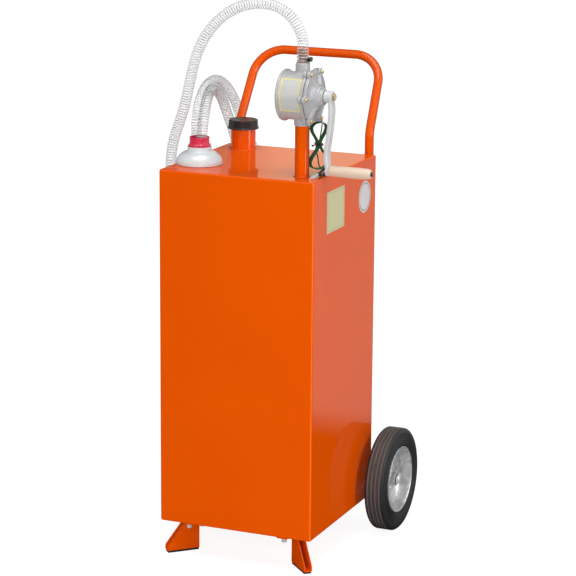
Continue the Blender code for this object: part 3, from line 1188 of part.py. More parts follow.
def build():
    centre_x = (REACH_RIGHT - REACH_LEFT) / 2
    centre_y = (REACH_BACK - REACH_FRONT) / 2
    root = empty("caddy", (-centre_x, -centre_y, 0))
    print("plan centre %.6f %.6f" % (centre_x, centre_y))
    tank(root)
    filler(root)
    riser(root)
    pump_place = (RISER_X - PORT_FROM_BACK, RISER_Y, DRUM_Z)
    pump_frame = empty("pump_frame", pump_place, root, TO_X)
    shaft_frame = empty("shaft_frame", (-ROTOR_OFFSET, 0, 0), pump_frame)
    crank_frame = empty("crank_frame", (0, 0, HUB_BACK), shaft_frame)
    pump(pump_frame, shaft_frame)
    crank(crank_frame)
    outlet(root)
    bell(root)
    handle(root)
    wheels(root)
    feet(root)
    earth(root)
    hose(root)


build()
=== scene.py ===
# %% [markdown]
# # A fuel caddy, dressed
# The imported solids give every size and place. This lesson gives them their real surfaces: gloss enamel on folded
# steel, a cast hand pump, a clear hose with a steel spiral in its wall, turned wood, rubber and pressed wheels.
# Each cell makes one piece or one finish, and the text before it says what the real one is.

from math import cos, exp, pi, radians, sin, sqrt, tan

import bmesh
import bpy
import numpy as np
from mathutils import Matrix, Vector


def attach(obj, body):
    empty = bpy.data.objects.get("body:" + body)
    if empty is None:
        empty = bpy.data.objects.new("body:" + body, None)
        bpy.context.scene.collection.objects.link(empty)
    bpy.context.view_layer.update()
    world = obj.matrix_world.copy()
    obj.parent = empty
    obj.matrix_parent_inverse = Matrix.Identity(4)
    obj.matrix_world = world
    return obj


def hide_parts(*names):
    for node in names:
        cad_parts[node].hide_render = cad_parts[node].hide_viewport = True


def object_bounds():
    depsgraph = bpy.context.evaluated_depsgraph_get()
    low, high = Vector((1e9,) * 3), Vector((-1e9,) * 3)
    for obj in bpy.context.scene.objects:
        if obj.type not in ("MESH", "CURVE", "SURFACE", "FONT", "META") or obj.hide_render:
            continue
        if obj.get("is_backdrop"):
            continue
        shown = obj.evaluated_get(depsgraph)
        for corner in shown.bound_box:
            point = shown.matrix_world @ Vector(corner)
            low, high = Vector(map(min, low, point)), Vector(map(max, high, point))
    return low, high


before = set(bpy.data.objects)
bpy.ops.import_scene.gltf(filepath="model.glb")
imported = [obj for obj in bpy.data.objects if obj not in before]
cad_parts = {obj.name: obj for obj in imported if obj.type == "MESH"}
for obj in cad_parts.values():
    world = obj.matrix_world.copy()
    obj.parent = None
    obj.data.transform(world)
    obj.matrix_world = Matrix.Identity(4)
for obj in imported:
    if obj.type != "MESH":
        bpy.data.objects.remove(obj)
solid_box = [list(corner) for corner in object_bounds()]

# %% [markdown]
# Places are easiest to think of from the middle of the tank's plan, so one small function turns such a place into
# the frame's own place. The main sizes are those of the solids.

# %% Sizes that the pieces share
PLAN = Vector((0.023675, 0.0668, 0.0))
TOP = 0.9442             # height of the tank's top
STAND = 0.0842           # height of its bottom
HALF_WIDTH = 0.196
HALF_DEPTH = 0.197
HALF_HEIGHT = 0.430
SEAT = 0.0003            # the gap between pieces that rest on each other
RISER = Vector((0.1415, -0.1375, TOP))
DRUM_BACK = 0.0966       # rear face of the pump, across the tank
DRUM_HEIGHT = 1.1317     # the pump's axis
COVER_FACE = 0.1750      # outer face of the pump's cover, across the tank
SCREW_RING = 0.0614      # the cover's screws stand on this circle
OUTLET_FACE = 1.2082
NECK = Vector((-0.1266, 0.1299, TOP))
BELL = Vector((-0.141, -0.0897, TOP + SEAT))
WHEEL_X = 0.243
AXLE_Y = 0.213
AXLE_HEIGHT = 0.128
SIDES = ((-1, "left"), (1, "right"))

FROM_MIDDLE = Matrix.Translation(-PLAN)             # for shapes already placed from the middle of the tank
ALONG_X = Matrix.Rotation(pi / 2, 4, "Y")      # turns Z to point right
ALONG_FRONT = Matrix.Rotation(pi / 2, 4, "X")  # turns Z to point forwards


def moved(x, y, z, turn=None):
    """The matrix that carries a shape made about the origin to a place given from the middle of the tank."""
    place = Matrix.Translation(Vector((x, y, z)) - PLAN)
    return place @ turn if turn is not None else place


def mm(text, size=2):
    """Points in metres from a row of numbers in millimetres."""
    numbers = [float(word + "e-3") for word in text.replace(",", " ").split()]
    return [tuple(numbers[i:i + size]) for i in range(0, len(numbers), size)]


def tint(red, green, blue):
    """A colour written as it looks on a screen, 0 to 255, as the linear one that shaders use."""
    parts = [part / 255 for part in (red, green, blue)]
    return tuple(p / 12.92 if p <= 0.04045 else ((p + 0.055) / 1.055) ** 2.4 for p in parts) + (1.0,)


def added(name, data):
    """A new object in the scene."""
    item = bpy.data.objects.new(name, data)
    bpy.context.collection.objects.link(item)
    return item


# %% [markdown]
# ## Camera
# The view was worked out from the seven corners of the tank that show: a long lens, a little above the tank, from
# the front right. Its axes are built from the two angles and a small roll, so no helper that guesses a frame is used.

# %% Camera
AZIMUTH, ELEVATION, ROLL = radians(23.127), radians(13.558), radians(0.4358)
EYE_RIGHT, EYE_UP, EYE_BACK = 0.04712, 0.11913, 5.7927   # from the middle of the tank, along the view's own axes
FOCAL_PIXELS, PICTURE, SENSOR = 2401.0, 576, 36.0


def seen_from(azimuth, elevation):
    """The direction from the caddy to an eye or a lamp. Azimuth is counted from the front to the right."""
    return Vector((
        sin(azimuth) * cos(elevation), -cos(azimuth) * cos(elevation), sin(elevation)))


back = seen_from(AZIMUTH, ELEVATION)
across = Vector((0, 0, 1)).cross(back).normalized()
upward = back.cross(across)
across, upward = (
    cos(ROLL) * across + sin(ROLL) * upward,
    cos(ROLL) * upward - sin(ROLL) * across,
)
eye = across * EYE_RIGHT + upward * EYE_UP + back * EYE_BACK + Vector((0, 0, STAND + HALF_HEIGHT)) - PLAN
lens = bpy.data.cameras.new("camera")
lens.sensor_width = SENSOR
lens.lens = FOCAL_PIXELS / PICTURE * SENSOR
lens.clip_end = 200.0
camera = added("camera", lens)
camera.matrix_world = Matrix.Translation(eye) @ Matrix((across, upward, back)).transposed().to_4x4()
bpy.context.scene.camera = camera
print("camera at", [round(part, 3) for part in eye], "lens %.1f mm" % lens.lens)

# %% [markdown]
# ## Finishes
# A finish is a node tree. Written node by node it is hard to read, so one small class wraps a socket: plus, minus and
# times on it add Math nodes. A second class holds the tree and adds any other node in one line.


# %% Arithmetic on sockets
class Value:
    """A number or colour inside a tree."""

    def __init__(self, tree, socket):
        self.tree, self.socket = tree, socket

    def __abs__(self):
        return self.tree.math("ABSOLUTE", self)


def operator(operation, swapped=False):
    """A method that adds one Math node."""
    def method(one, other):
        first, second = (other, one) if swapped else (one, other)
        return one.tree.math(operation, first, second)
    return method


for sign, operation in (
    ("add", "ADD"), ("sub", "SUBTRACT"), ("mul", "MULTIPLY"), ("truediv", "DIVIDE"), ("pow", "POWER"),
    ("gt", "GREATER_THAN"), ("lt", "LESS_THAN"),
):
    setattr(Value, "__%s__" % sign, operator(operation))
    if sign in ("add", "sub", "mul"):
        setattr(Value, "__r%s__" % sign, operator(operation, True))


class Tree:
    """A node tree, for a material, the world or geometry."""

    def __init__(self, tree):
        self.tree = tree

    def node(self, kind, settings=None, sockets=None, give=0):
        """One node: its settings first, then the values or links of its sockets."""
        made = self.tree.nodes.new(kind)
        for key, value in (settings or {}).items():
            if key == "stops":
                ramp = made.color_ramp
                for spot, (place, colour) in enumerate(value):
                    stop = ramp.elements[spot] if spot < 2 else ramp.elements.new(place)
                    stop.position, stop.color = place, colour
            else:
                setattr(made, key, value)
        for key, value in (sockets or {}).items():
            if isinstance(value, Value):
                self.tree.links.new(value.socket, made.inputs[key])
            else:
                made.inputs[key].default_value = value
        return Value(self, made.outputs[give] if made.outputs else None)

    def math(self, operation, first, second=0.0):
        return self.node("ShaderNodeMath", {"operation": operation}, {0: first, 1: second})

    def vector(self, operation, sockets, give=0):
        return self.node("ShaderNodeVectorMath", {"operation": operation}, sockets, give)

    def mix(self, share, first, second):
        """One colour to another."""
        return self.node("ShaderNodeMix", {"data_type": "RGBA"}, {0: share, 6: first, 7: second}, 2)

    def blend(self, share, first, second):
        """One shader to another."""
        return self.node("ShaderNodeMixShader", None, {0: share, 1: first, 2: second})

    def ease(self, value, low, high, first=0.0, last=1.0):
        """A soft step from a first level to a last one."""
        return self.node("ShaderNodeMapRange", {"interpolation_type": "SMOOTHSTEP"}, {
            0: value, 1: low, 2: high, 3: first, 4: last,
        })

    def rays(self, *kinds):
        """One number for each kind of ray: 1 for such a ray, else 0."""
        return [self.node("ShaderNodeLightPath", None, None, "Is %s Ray" % kind) for kind in kinds]

    def parts(self, vector):
        """The X, Y and Z of a vector."""
        return [self.node("ShaderNodeSeparateXYZ", None, {0: vector}, axis) for axis in range(3)]


class Finish(Tree):
    """A material on one Principled shader. What is the same all over is set on the shader itself."""

    def __init__(self, name, base, roughness, metallic=0.0, **fixed):
        self.material = bpy.data.materials.new(name)
        self.material.use_nodes = True
        super().__init__(self.material.node_tree)
        self.shader = self.tree.nodes["Principled BSDF"]
        self.set("Base Color", base)
        self.set("Roughness", roughness)
        self.set("Metallic", metallic)
        for key, value in fixed.items():
            self.set(key.replace("_", " "), value)
        self.material.diffuse_color = base
        self.spot = self.node("ShaderNodeTexCoord", None, None, "Object")

    def set(self, name, value):
        if isinstance(value, Value):
            self.tree.links.new(value.socket, self.shader.inputs[name])
        else:
            self.shader.inputs[name].default_value = value

    def centred(self, place, turn=(0, 0, 0), scale=(1, 1, 1)):
        """Object places counted from a point on the piece, turned and stretched."""
        moved_spot = self.vector("SUBTRACT", {0: self.spot, 1: tuple(place)})
        return self.node("ShaderNodeMapping", None, {"Vector": moved_spot, "Rotation": turn, "Scale": scale})

    def noise(self, scale, detail=2.0, vector=None, rough=0.5, bend=0.0):
        """Cloudy values from 0 to 1, with a pattern size of one over the scale in metres."""
        return self.node("ShaderNodeTexNoise", None, {
            "Vector": vector or self.spot, "Scale": scale, "Detail": detail, "Roughness": rough, "Distortion": bend,
        })

    def bump(self, height, distance, strength=1.0):
        """Relief of a height in metres."""
        self.set("Normal", self.node("ShaderNodeBump", None, {
            "Strength": strength, "Distance": distance, "Height": height,
        }))


# %% [markdown]
# The body's enamel is a gloss stove enamel on sheet steel. Its colour is deep and even, its gloss layer sharp, and
# the sheet under it is never quite flat, so reflections swim a little. A fine orange peel breaks the highlight. On
# tubes a painted shade darkens the colour towards the edges, and along the tank's upright folds a painted
# highlight lightens it.

# %% Orange gloss enamel
FOLD_HIGHLIGHT = 0.0024      # the painted highlight along a fold is this wide


def enamel(name, edge=0.0, folds=False):
    look = Finish(name, tint(231, 86, 2), 0.30, Coat_Weight=0.62, Coat_Roughness=0.035)
    look.set("Specular IOR Level", 0.0)
    colour = look.mix(look.noise(5.0, 2.0), tint(226, 82, 2), tint(236, 90, 3))
    # Painted shade: where the surface turns away from the eye the colour darkens, standing in for the shade on a tube's
    # edges.
    if edge:
        turned_away = look.node("ShaderNodeLayerWeight", None, {"Blend": 0.5}, "Facing")
        colour = look.mix(turned_away ** 1.5 * edge, colour, tint(140, 36, 2))
    if folds:
        # Painted highlight: along the tank's upright folds the colour turns light, standing in for a lit line on each
        # rounded corner.
        x, y, _ = look.parts(look.centred(-PLAN))
        painted_fold_highlight = (abs(x) > HALF_WIDTH - FOLD_HIGHLIGHT) * (abs(y) > HALF_DEPTH - FOLD_HIGHLIGHT)
        colour = look.mix(painted_fold_highlight * 0.85, colour, tint(255, 130, 50))
    look.set("Base Color", colour)
    look.set("Roughness", 0.26 + 0.10 * look.noise(60.0, 3.0))
    sheet = look.noise(7.0, 1.0) * 0.6
    peel = look.noise(520.0, 2.0) * 0.05
    look.bump(sheet + peel, 0.0009, 0.35)
    return look.material


PAINT = enamel("orange_enamel")
# Tubes get the painted edge shade.
TUBE_PAINT_EDGE_SHADE = enamel("tube_enamel_edge_shade", 0.9)
# The tank's enamel gets the painted highlight along its upright folds.
TANK_PAINT_FOLD_HIGHLIGHT = enamel("tank_enamel_fold_highlight", folds=True)

# %% [markdown]
# The pump is die cast and sprayed with a silver grey lacquer. Up close such a surface is grainy, with faint clouds
# where the spray lies thicker. The grain is relief, the clouds are colour and roughness. Plated or drawn metal has
# fine scratches along one direction and faint stains. The clip's jaws are bright, and dipped in black behind.

# %% Grey cast metal and other metals
DIP_LINE = -0.1995       # the clip is black behind this line


def casting(name, dark, light, metallic, roughness, grain):
    look = Finish(name, light, roughness, metallic)
    look.set("Base Color", look.mix(look.noise(38.0, 3.0), dark, light))
    look.set("Roughness", look.noise(90.0, 2.0) * 0.14 + (roughness - 0.07))
    pits = look.node("ShaderNodeTexVoronoi", {"feature": "SMOOTH_F1"}, {"Vector": look.spot, "Scale": grain})
    look.bump(pits * 0.5 + look.noise(grain * 0.6, 3.0), 0.00018, 0.8)
    return look.material


def metal(name, dark, light, roughness, metallic=1.0):
    look = Finish(name, light, roughness, metallic)
    stain = look.noise(55.0, 4.0)
    lines = look.noise(90.0, 4.0, look.centred((0, 0, 0), (0.3, 0.5, 0.1), (1.0, 14.0, 6.0)), 0.65)
    look.set("Base Color", look.mix(stain * 0.7 + lines * 0.3, dark, light))
    look.set("Roughness", lines * 0.16 + (roughness - 0.08))
    look.bump(lines, 0.00004, 1.0)
    return look.material


def clip_two_tone():
    look = Finish("clip_two_tone", tint(222, 223, 224), 0.26)
    dipped = look.parts(look.centred((0, DIP_LINE, 0)))[1] > 0.0
    bright = look.mix(look.noise(400.0, 2.0), tint(224, 226, 228), tint(246, 247, 248))
    look.set("Base Color", look.mix(dipped, bright, tint(22, 22, 23)))
    look.set("Metallic", dipped * -0.35 + 0.35)
    look.set("Roughness", dipped * 0.2 + 0.24)
    return look.material


CAST = casting("grey_casting", tint(169, 169, 171), tint(191, 191, 193), 0.15, 0.46, 900.0)
ARM_CAST = casting("arm_casting", tint(197, 198, 198), tint(219, 220, 220), 0.10, 0.44, 700.0)
BRASS = metal("turned_brass", tint(206, 178, 124), tint(238, 218, 172), 0.26, 0.7)
COPPER = metal("spout_brass", tint(140, 62, 30), tint(206, 116, 66), 0.24, 0.6)
ZINC = metal("zinc_plate", tint(176, 178, 180), tint(214, 215, 216), 0.30, 0.6)
NICKEL = metal("clip_nickel", tint(206, 208, 210), tint(236, 237, 238), 0.26, 0.3)
DARK_STEEL = metal("dark_steel", tint(52, 50, 50), tint(96, 92, 90), 0.32)
ROTOR_STEEL = metal("rotor_steel", tint(126, 128, 130), tint(168, 170, 172), 0.36)
SPIRAL_WIRE = metal("hose_spiral", tint(132, 134, 138), tint(180, 182, 186), 0.26)
CLIP = clip_two_tone()

# %% [markdown]
# The bell is spun aluminium under a satin silver lacquer. Spinning leaves rings round its axis, far finer than a
# ripple, which stretch the highlight. The rings are read from the distance to the axis. The rims are pressed, plated
# and a little blotched.

# %% Spun silver and pressed wheels
RING_PITCH = 0.0011


def from_axis(first, second):
    """The distance to an axis, from the two places across it."""
    return (first * first + second * second) ** 0.5


def spun_silver():
    look = Finish("spun_silver", tint(200, 202, 203), 0.38, 0.12, Coat_Weight=1.0, Coat_Roughness=0.11)
    x, y, _ = look.parts(look.centred(BELL - PLAN))
    wave = look.math("SINE", from_axis(x, y) * (2 * pi / RING_PITCH))
    look.set("Base Color", look.mix(look.noise(46.0, 3.0), tint(213, 221, 223), tint(225, 232, 234)))
    look.set("Roughness", 0.37 + 0.10 * look.noise(300.0, 2.0))
    look.bump(wave * 0.5 + look.noise(800.0, 2.0), 0.00005, 0.8)
    return look.material


def pressed_silver():
    look = Finish("pressed_silver", tint(205, 206, 208), 0.30, 0.55, Coat_Weight=0.5, Coat_Roughness=0.08)
    dent = look.noise(32.0, 2.0, None, 0.5, 0.8)
    blotch = look.ease(look.noise(34.0, 2.0, None, 0.5, 1.6), 0.30, 0.70)
    look.set("Base Color", look.mix(blotch, tint(184, 186, 188), tint(228, 229, 230)))
    look.set("Roughness", 0.26 + 0.14 * look.noise(70.0, 3.0))
    look.bump(dent + look.noise(600.0, 2.0) * 0.03, 0.0034, 0.7)
    return look.material


SILVER = spun_silver()
RIM_SILVER = pressed_silver()

# %% [markdown]
# Rubber and black plastic are both near black, and only their surface tells them apart. The tyre is moulded rubber,
# matt, with brown dust that stays low in the tread. The cap is hard plastic with a fine spark-eroded texture.

# %% Rubber and plastics
TREAD_HALF = 0.0178      # half the width of the grooved tread
TREAD_RADIUS, GROOVE_RADIUS = 0.1215, 0.1268


def tyre_rubber():
    look = Finish("tyre_rubber", tint(34, 34, 35), 0.55)
    x, y, z = look.parts(look.centred((-PLAN.x, AXLE_Y - PLAN.y, AXLE_HEIGHT)))
    radius = from_axis(y, z)
    band = abs(abs(x) - WHEEL_X) < TREAD_HALF
    groove = band * (radius < GROOVE_RADIUS)
    dust = (band * (radius > TREAD_RADIUS) * 0.20 + groove * 0.70) * (0.7 + 0.5 * look.noise(120.0, 3.0))
    rubber = look.mix(look.noise(40.0, 3.0), tint(26, 26, 27), tint(42, 42, 44))
    look.set("Base Color", look.mix(dust, rubber, tint(122, 113, 111)))
    look.set("Roughness", 0.48 + 0.18 * look.noise(85.0, 2.0))
    look.bump(look.noise(1400.0, 3.0), 0.00012, 0.6)
    return look.material


def plastic(name, dark, light, roughness, grain, relief, coat=0.0):
    look = Finish(name, light, roughness, Coat_Weight=coat)
    look.set("Base Color", look.mix(look.noise(30.0, 3.0), dark, light))
    look.set("Roughness", look.noise(110.0, 2.0) * 0.10 + (roughness - 0.05))
    look.bump(look.noise(grain, 3.0), relief, 0.7)
    return look.material


TYRE = tyre_rubber()
CAP_PLASTIC = plastic("cap_plastic", tint(25, 22, 22), tint(39, 35, 34), 0.36, 1600.0, 0.00008)
PAD_RUBBER = plastic("pad_rubber", tint(20, 20, 20), tint(34, 34, 34), 0.72, 900.0, 0.00015)
COLLAR_RED = plastic("collar_red", tint(206, 38, 70), tint(230, 56, 92), 0.28, 700.0, 0.00006, 0.5)
WIRE_GREEN = plastic("wire_green", tint(8, 62, 30), tint(26, 104, 50), 0.34, 1200.0, 0.00004)
BUSH_NYLON = plastic("bush_nylon", tint(48, 48, 48), tint(70, 70, 70), 0.48, 900.0, 0.00006)
FIBRE = plastic("gasket_fibre", tint(112, 112, 106), tint(136, 135, 128), 0.82, 1300.0, 0.00012)

# %% [markdown]
# The grip is turned from a pale, close-grained wood and lightly oiled. Its grain runs along the grip, so the noise is
# stretched along X.

# %% Pale turned wood
def grip_wood():
    look = Finish("grip_wood", tint(232, 208, 184), 0.46, Coat_Weight=0.10)
    grain = look.noise(26.0, 5.0, look.centred((0, 0, 0), (0, 0, 0), (0.35, 9.0, 9.0)), 0.62, 0.4)
    fleck = look.noise(70.0, 2.0, look.centred((0, 0, 0), (0, 0, 0), (0.5, 12.0, 12.0)))
    pale = look.mix(grain, tint(206, 178, 152), tint(232, 212, 193))
    look.set("Base Color", look.mix((fleck > 0.66) * 0.35, pale, tint(178, 140, 106)))
    look.set("Roughness", 0.36 + 0.16 * grain)
    look.bump(grain + fleck * 0.3, 0.00016, 0.6)
    return look.material


WOOD = grip_wood()

# %% [markdown]
# The hose is clear PVC with a steel wire wound into its wall. Clear plastic is hardly seen where it is looked through
# squarely, and turns milky white towards its edges, where there is more of it in the way. Layer Weight gives that.
# Over each turn of the wire a painted highlight makes the wall white: the hose's mesh carries a number, rib, that is 1
# there.

# %% Clear hose wall
def clear_wall():
    look = Finish("clear_hose_wall", tint(236, 239, 242), 0.10, Coat_Weight=0.6, Coat_Roughness=0.04)
    edge = look.node("ShaderNodeLayerWeight", None, {"Blend": 0.42}, "Facing")
    haze = look.noise(130.0, 3.0)
    rib = look.node("ShaderNodeAttribute", {"attribute_type": "GEOMETRY", "attribute_name": "rib"}, None, "Fac")
    look.set("Base Color", look.mix(haze, tint(222, 225, 229), tint(248, 249, 250)))
    # Painted highlight: over each rib the wall turns more opaque, so its white shows as a bright band.
    look.set("Alpha", 0.04 + 0.38 * edge ** 2.2 + 0.05 * haze + 0.40 * rib ** 2.0)
    look.bump(look.noise(420.0, 2.0), 0.00025, 0.5)
    look.material.surface_render_method = "DITHERED"
    return look.material


CLEAR = clear_wall()

# %% [markdown]
# ## Shapes
# Most parts here are turned: a profile swept round an axis. Real edges are never sharp, so a helper rounds each
# corner of a profile with a small curve before it is swept. Flat parts get their rounding from a Bevel modifier.
# Profiles are written in millimetres, as rows of radius and height.


# %% Profiles and turned bodies
def softened(points, radius, steps=3, ring=False):
    """The profile with every corner rounded."""
    out = []
    spots = [Vector(point) for point in points]
    for i, spot in enumerate(spots):
        before, after = spots[i - 1] - spot, spots[(i + 1) % len(spots)] - spot
        size = min(radius, before.length * 0.45, after.length * 0.45)
        before, after = before.normalized(), after.normalized()
        is_end = not ring and i in (0, len(spots) - 1)
        if is_end or size < 1e-6 or before.dot(after) < -0.995:
            out.append(tuple(spot))
            continue
        for t in [step / steps for step in range(steps + 1)]:
            curve = (spot + before * size) * (1 - t) ** 2 + spot * 2 * t * (1 - t) + (spot + after * size) * t * t
            out.append(tuple(curve))
    return out


def bridge(shape, low, high):
    """Faces between two rings of corners, either of which may be one point."""
    count = max(len(low), len(high))
    for i in range(count):
        j = (i + 1) % count
        corners = []
        for corner in (low[i % len(low)], low[j % len(low)], high[j % len(high)], high[i % len(high)]):
            if corner not in corners:
                corners.append(corner)
        shape.faces.new(corners)


def turned(profile, sides=72, reach=None, shape=None, turn=Matrix.Identity(4)):
    """A body turned about Z. A profile that starts and ends on the axis is solid, any other is a ring."""
    shape = shape or bmesh.new()
    rows = []
    for radius, height in profile:
        if radius == 0:
            rows.append([shape.verts.new(turn @ Vector((0, 0, height)))])
            continue
        row = []
        for i in range(sides):
            angle = 2 * pi * i / sides
            far = reach(radius, angle, height) if reach else radius
            row.append(shape.verts.new(turn @ Vector((far * cos(angle), far * sin(angle), height))))
        rows.append(row)
    for low, high in zip(rows, rows[1:]):
        bridge(shape, low, high)
    if profile[0][0] != 0:
        bridge(shape, rows[-1], rows[0])
    return shape


def loft(loops):
    """A body through a row of loops, with flat ends."""
    shape = bmesh.new()
    rows = [[shape.verts.new(corner) for corner in loop] for loop in loops]
    for low, high in zip(rows, rows[1:]):
        bridge(shape, low, high)
    shape.faces.new(rows[0])
    shape.faces.new(rows[-1])
    return shape


def plate(outline, low, high, turn=Matrix.Identity(4)):
    """A flat outline with a thickness along Z."""
    shape = bmesh.new()
    bottom, top = ([shape.verts.new(turn @ Vector((x, y, level))) for x, y in outline] for level in (low, high))
    shape.faces.new(bottom)
    shape.faces.new(top)
    bridge(shape, bottom, top)
    return shape


# %% [markdown]
# A finished piece keeps its object at the origin and its place in its mesh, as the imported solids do. One function
# does this for every piece: it places the mesh, shades it, gives it its finish, and says which body it rides on and
# which solids it stands for. Most pieces ride on the caddy itself.

# %% Finishing a piece
def dressed(item, look, slot, *nodes, body="caddy"):
    """Give a piece that is in its place its finish, hang it on its body and hide the solids it stands for."""
    if look is not None:
        item.data.materials.clear()
        item.data.materials.append(look)
    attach(item, body)
    if nodes:
        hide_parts(*nodes)
    return item


def shaded(item, sharp=None):
    """Smooth light, with edges kept where two faces turn by more than an angle in degrees."""
    item.data.shade_smooth()
    if sharp:
        item.data.set_sharp_from_angle(angle=radians(sharp))
    return item


def loose(name, shape, place=Matrix.Identity(4), sharp=40.0):
    """An object from a shape, placed and shaded, without a finish or a body yet."""
    bmesh.ops.recalc_face_normals(shape, faces=shape.faces[:])
    data = bpy.data.meshes.new(name)
    shape.to_mesh(data)
    shape.free()
    data.transform(place)
    return shaded(added(name, data), sharp)


def piece(name, shape, place, look, slot, *nodes, body="caddy", sharp=40.0, bevel=0.0):
    item = loose(name, shape, place, sharp)
    if bevel:
        edge = item.modifiers.new("edges", "BEVEL")
        edge.width, edge.segments, edge.limit_method, edge.angle_limit = bevel, 2, "ANGLE", radians(38)
        edge.harden_normals = True
    return dressed(item, look, slot, *nodes, body=body)


def baked(item, name):
    """The object with its modifiers worked in, as a plain mesh object. The old one goes."""
    graph = bpy.context.evaluated_depsgraph_get()
    data = bpy.data.meshes.new_from_object(item.evaluated_get(graph), depsgraph=graph)
    data.name = name
    bpy.data.objects.remove(item, do_unlink=True)
    return added(name, data)


# %% [markdown]
# ## Paths for the hose and the wire
# Both follow a smooth curve through the same chosen places as the solids. The curve is a natural cubic spline, walked
# in even steps.

# %% A smooth line through chosen places
def smooth_line(places, count):
    spots = np.array(places, float)
    knots = np.concatenate([[0], np.cumsum(np.linalg.norm(np.diff(spots, axis=0), axis=1) ** 0.5)])
    gaps = np.diff(knots)
    size = len(spots)
    system = np.eye(size)
    right = np.zeros_like(spots)
    for i in range(1, size - 1):
        system[i, i - 1:i + 2] = gaps[i - 1], 2 * (gaps[i - 1] + gaps[i]), gaps[i]
        right[i] = 6 * ((spots[i + 1] - spots[i]) / gaps[i] - (spots[i] - spots[i - 1]) / gaps[i - 1])
    bend = np.linalg.solve(system, right)
    fine = []
    for i in range(size - 1):
        for share in np.linspace(0, 1, 16, endpoint=False):
            a = 1 - share
            curve = ((a ** 3 - a) * bend[i] + (share ** 3 - share) * bend[i + 1]) * gaps[i] ** 2 / 6
            fine.append(a * spots[i] + share * spots[i + 1] + curve)
    fine.append(spots[-1])
    fine = np.array(fine)
    run = np.concatenate([[0], np.cumsum(np.linalg.norm(np.diff(fine, axis=0), axis=1))])
    at = np.linspace(0, run[-1], count)
    return [Vector([float(np.interp(s, run, fine[:, k])) for k in range(3)]) for s in at]


def path_length(points):
    return sum((b - a).length for a, b in zip(points, points[1:]))


def path_object(name, points):
    """An open curve of one spline through the points."""
    data = bpy.data.curves.new(name, "CURVE")
    data.dimensions = "3D"
    strand = data.splines.new("POLY")
    strand.points.add(len(points) - 1)
    for spot, place in zip(strand.points, points):
        spot.co = (*place, 1.0)
    return added(name, data)


def round_section(item, radius, resolution):
    """Give a path a round section and closed ends."""
    item.data.bevel_depth, item.data.bevel_resolution, item.data.use_fill_caps = radius, resolution, True
    return item


# %% Route of the hose: x and y from the middle of the tank, height above its top
HOSE_ROUTE = mm("""
    141.5 -137.5 308.8, 134.5 -137.5 333.2, 113.6 -137.6 364.4, 82.2 -137.8 385.2, 45.5 -138 392.5,
    -18 -138 381, -80 -137 338, -122 -135 275, -144 -132 205, -168 -124 125, -203 -107 40,
    -214 -94 -50, -214 -94 -135, -214 -66 -214, -214 2 -245, -214 70 -212, -214 96 -135, -213.5 71 -48,
    -212.5 46 30, -212.5 50 95, -213 88 145, -214 158 160, -212 230 128, -201 273 60, -175 279 -10,
    -120 275 -60, -55 262 -100, -13 250 -165, -40 246 -243, -115 246 -274, -189 246 -243,
    -217 246 -168, -209 246 -98, -196.5 246 -30, -197.5 226 25, -198.5 190 78, -188.5 135 124,
    -172 60 155, -154.5 -10 153, -139.5 -65 117, -134.5 -89.5 70, -134.5 -89.5 35""", 3)
HOSE_RADIUS = 0.013
SPIRAL_PITCH = 0.0066
free_run = smooth_line([Vector(place) + Vector((0, 0, TOP)) - PLAN for place in HOSE_ROUTE], 640)
hose_start = Vector((RISER.x, RISER.y, OUTLET_FACE)) - PLAN
hose_path = [hose_start.lerp(free_run[0], step / 8) for step in range(8)] + free_run
print("hose path %.3f m" % path_length(hose_path))

# %% [markdown]
# ## Geometry Nodes for what follows a path
# The hose wall has a low rib over every turn of its wire, some four hundred and fifty of them, and the wire is one
# long screw line. Both follow the path, so a node tree makes them: the wall sweeps a circle whose radius swells once
# per turn, and the wire moves each point of the path out along a turning direction before it sweeps a small circle.

# %% Ribbed wall with a spiral in it
def new_group(name, *sockets):
    """A geometry tree with named inputs, and the wrapper that fills it."""
    group = bpy.data.node_groups.new(name, "GeometryNodeTree")
    for title, kind, value in (("Geometry", "Geometry", None), *sockets):
        socket = group.interface.new_socket(name=title, in_out="INPUT", socket_type="NodeSocket" + kind)
        if value is not None:
            socket.default_value = value
    group.interface.new_socket(name="Geometry", in_out="OUTPUT", socket_type="NodeSocketGeometry")
    tree = Tree(group)
    start = group.nodes.new("NodeGroupInput")
    return group, tree, {socket.name: Value(tree, socket) for socket in start.outputs if socket.name}


def grown(name, item, group, **values):
    """Run a tree on an object with its inputs set, and keep the result as a plain mesh."""
    step = item.modifiers.new(name, "NODES")
    step.node_group = group
    for entry in group.interface.items_tree:
        if getattr(entry, "in_out", "") == "INPUT" and entry.name in values:
            step[entry.identifier] = values[entry.name]
    return baked(item, name)


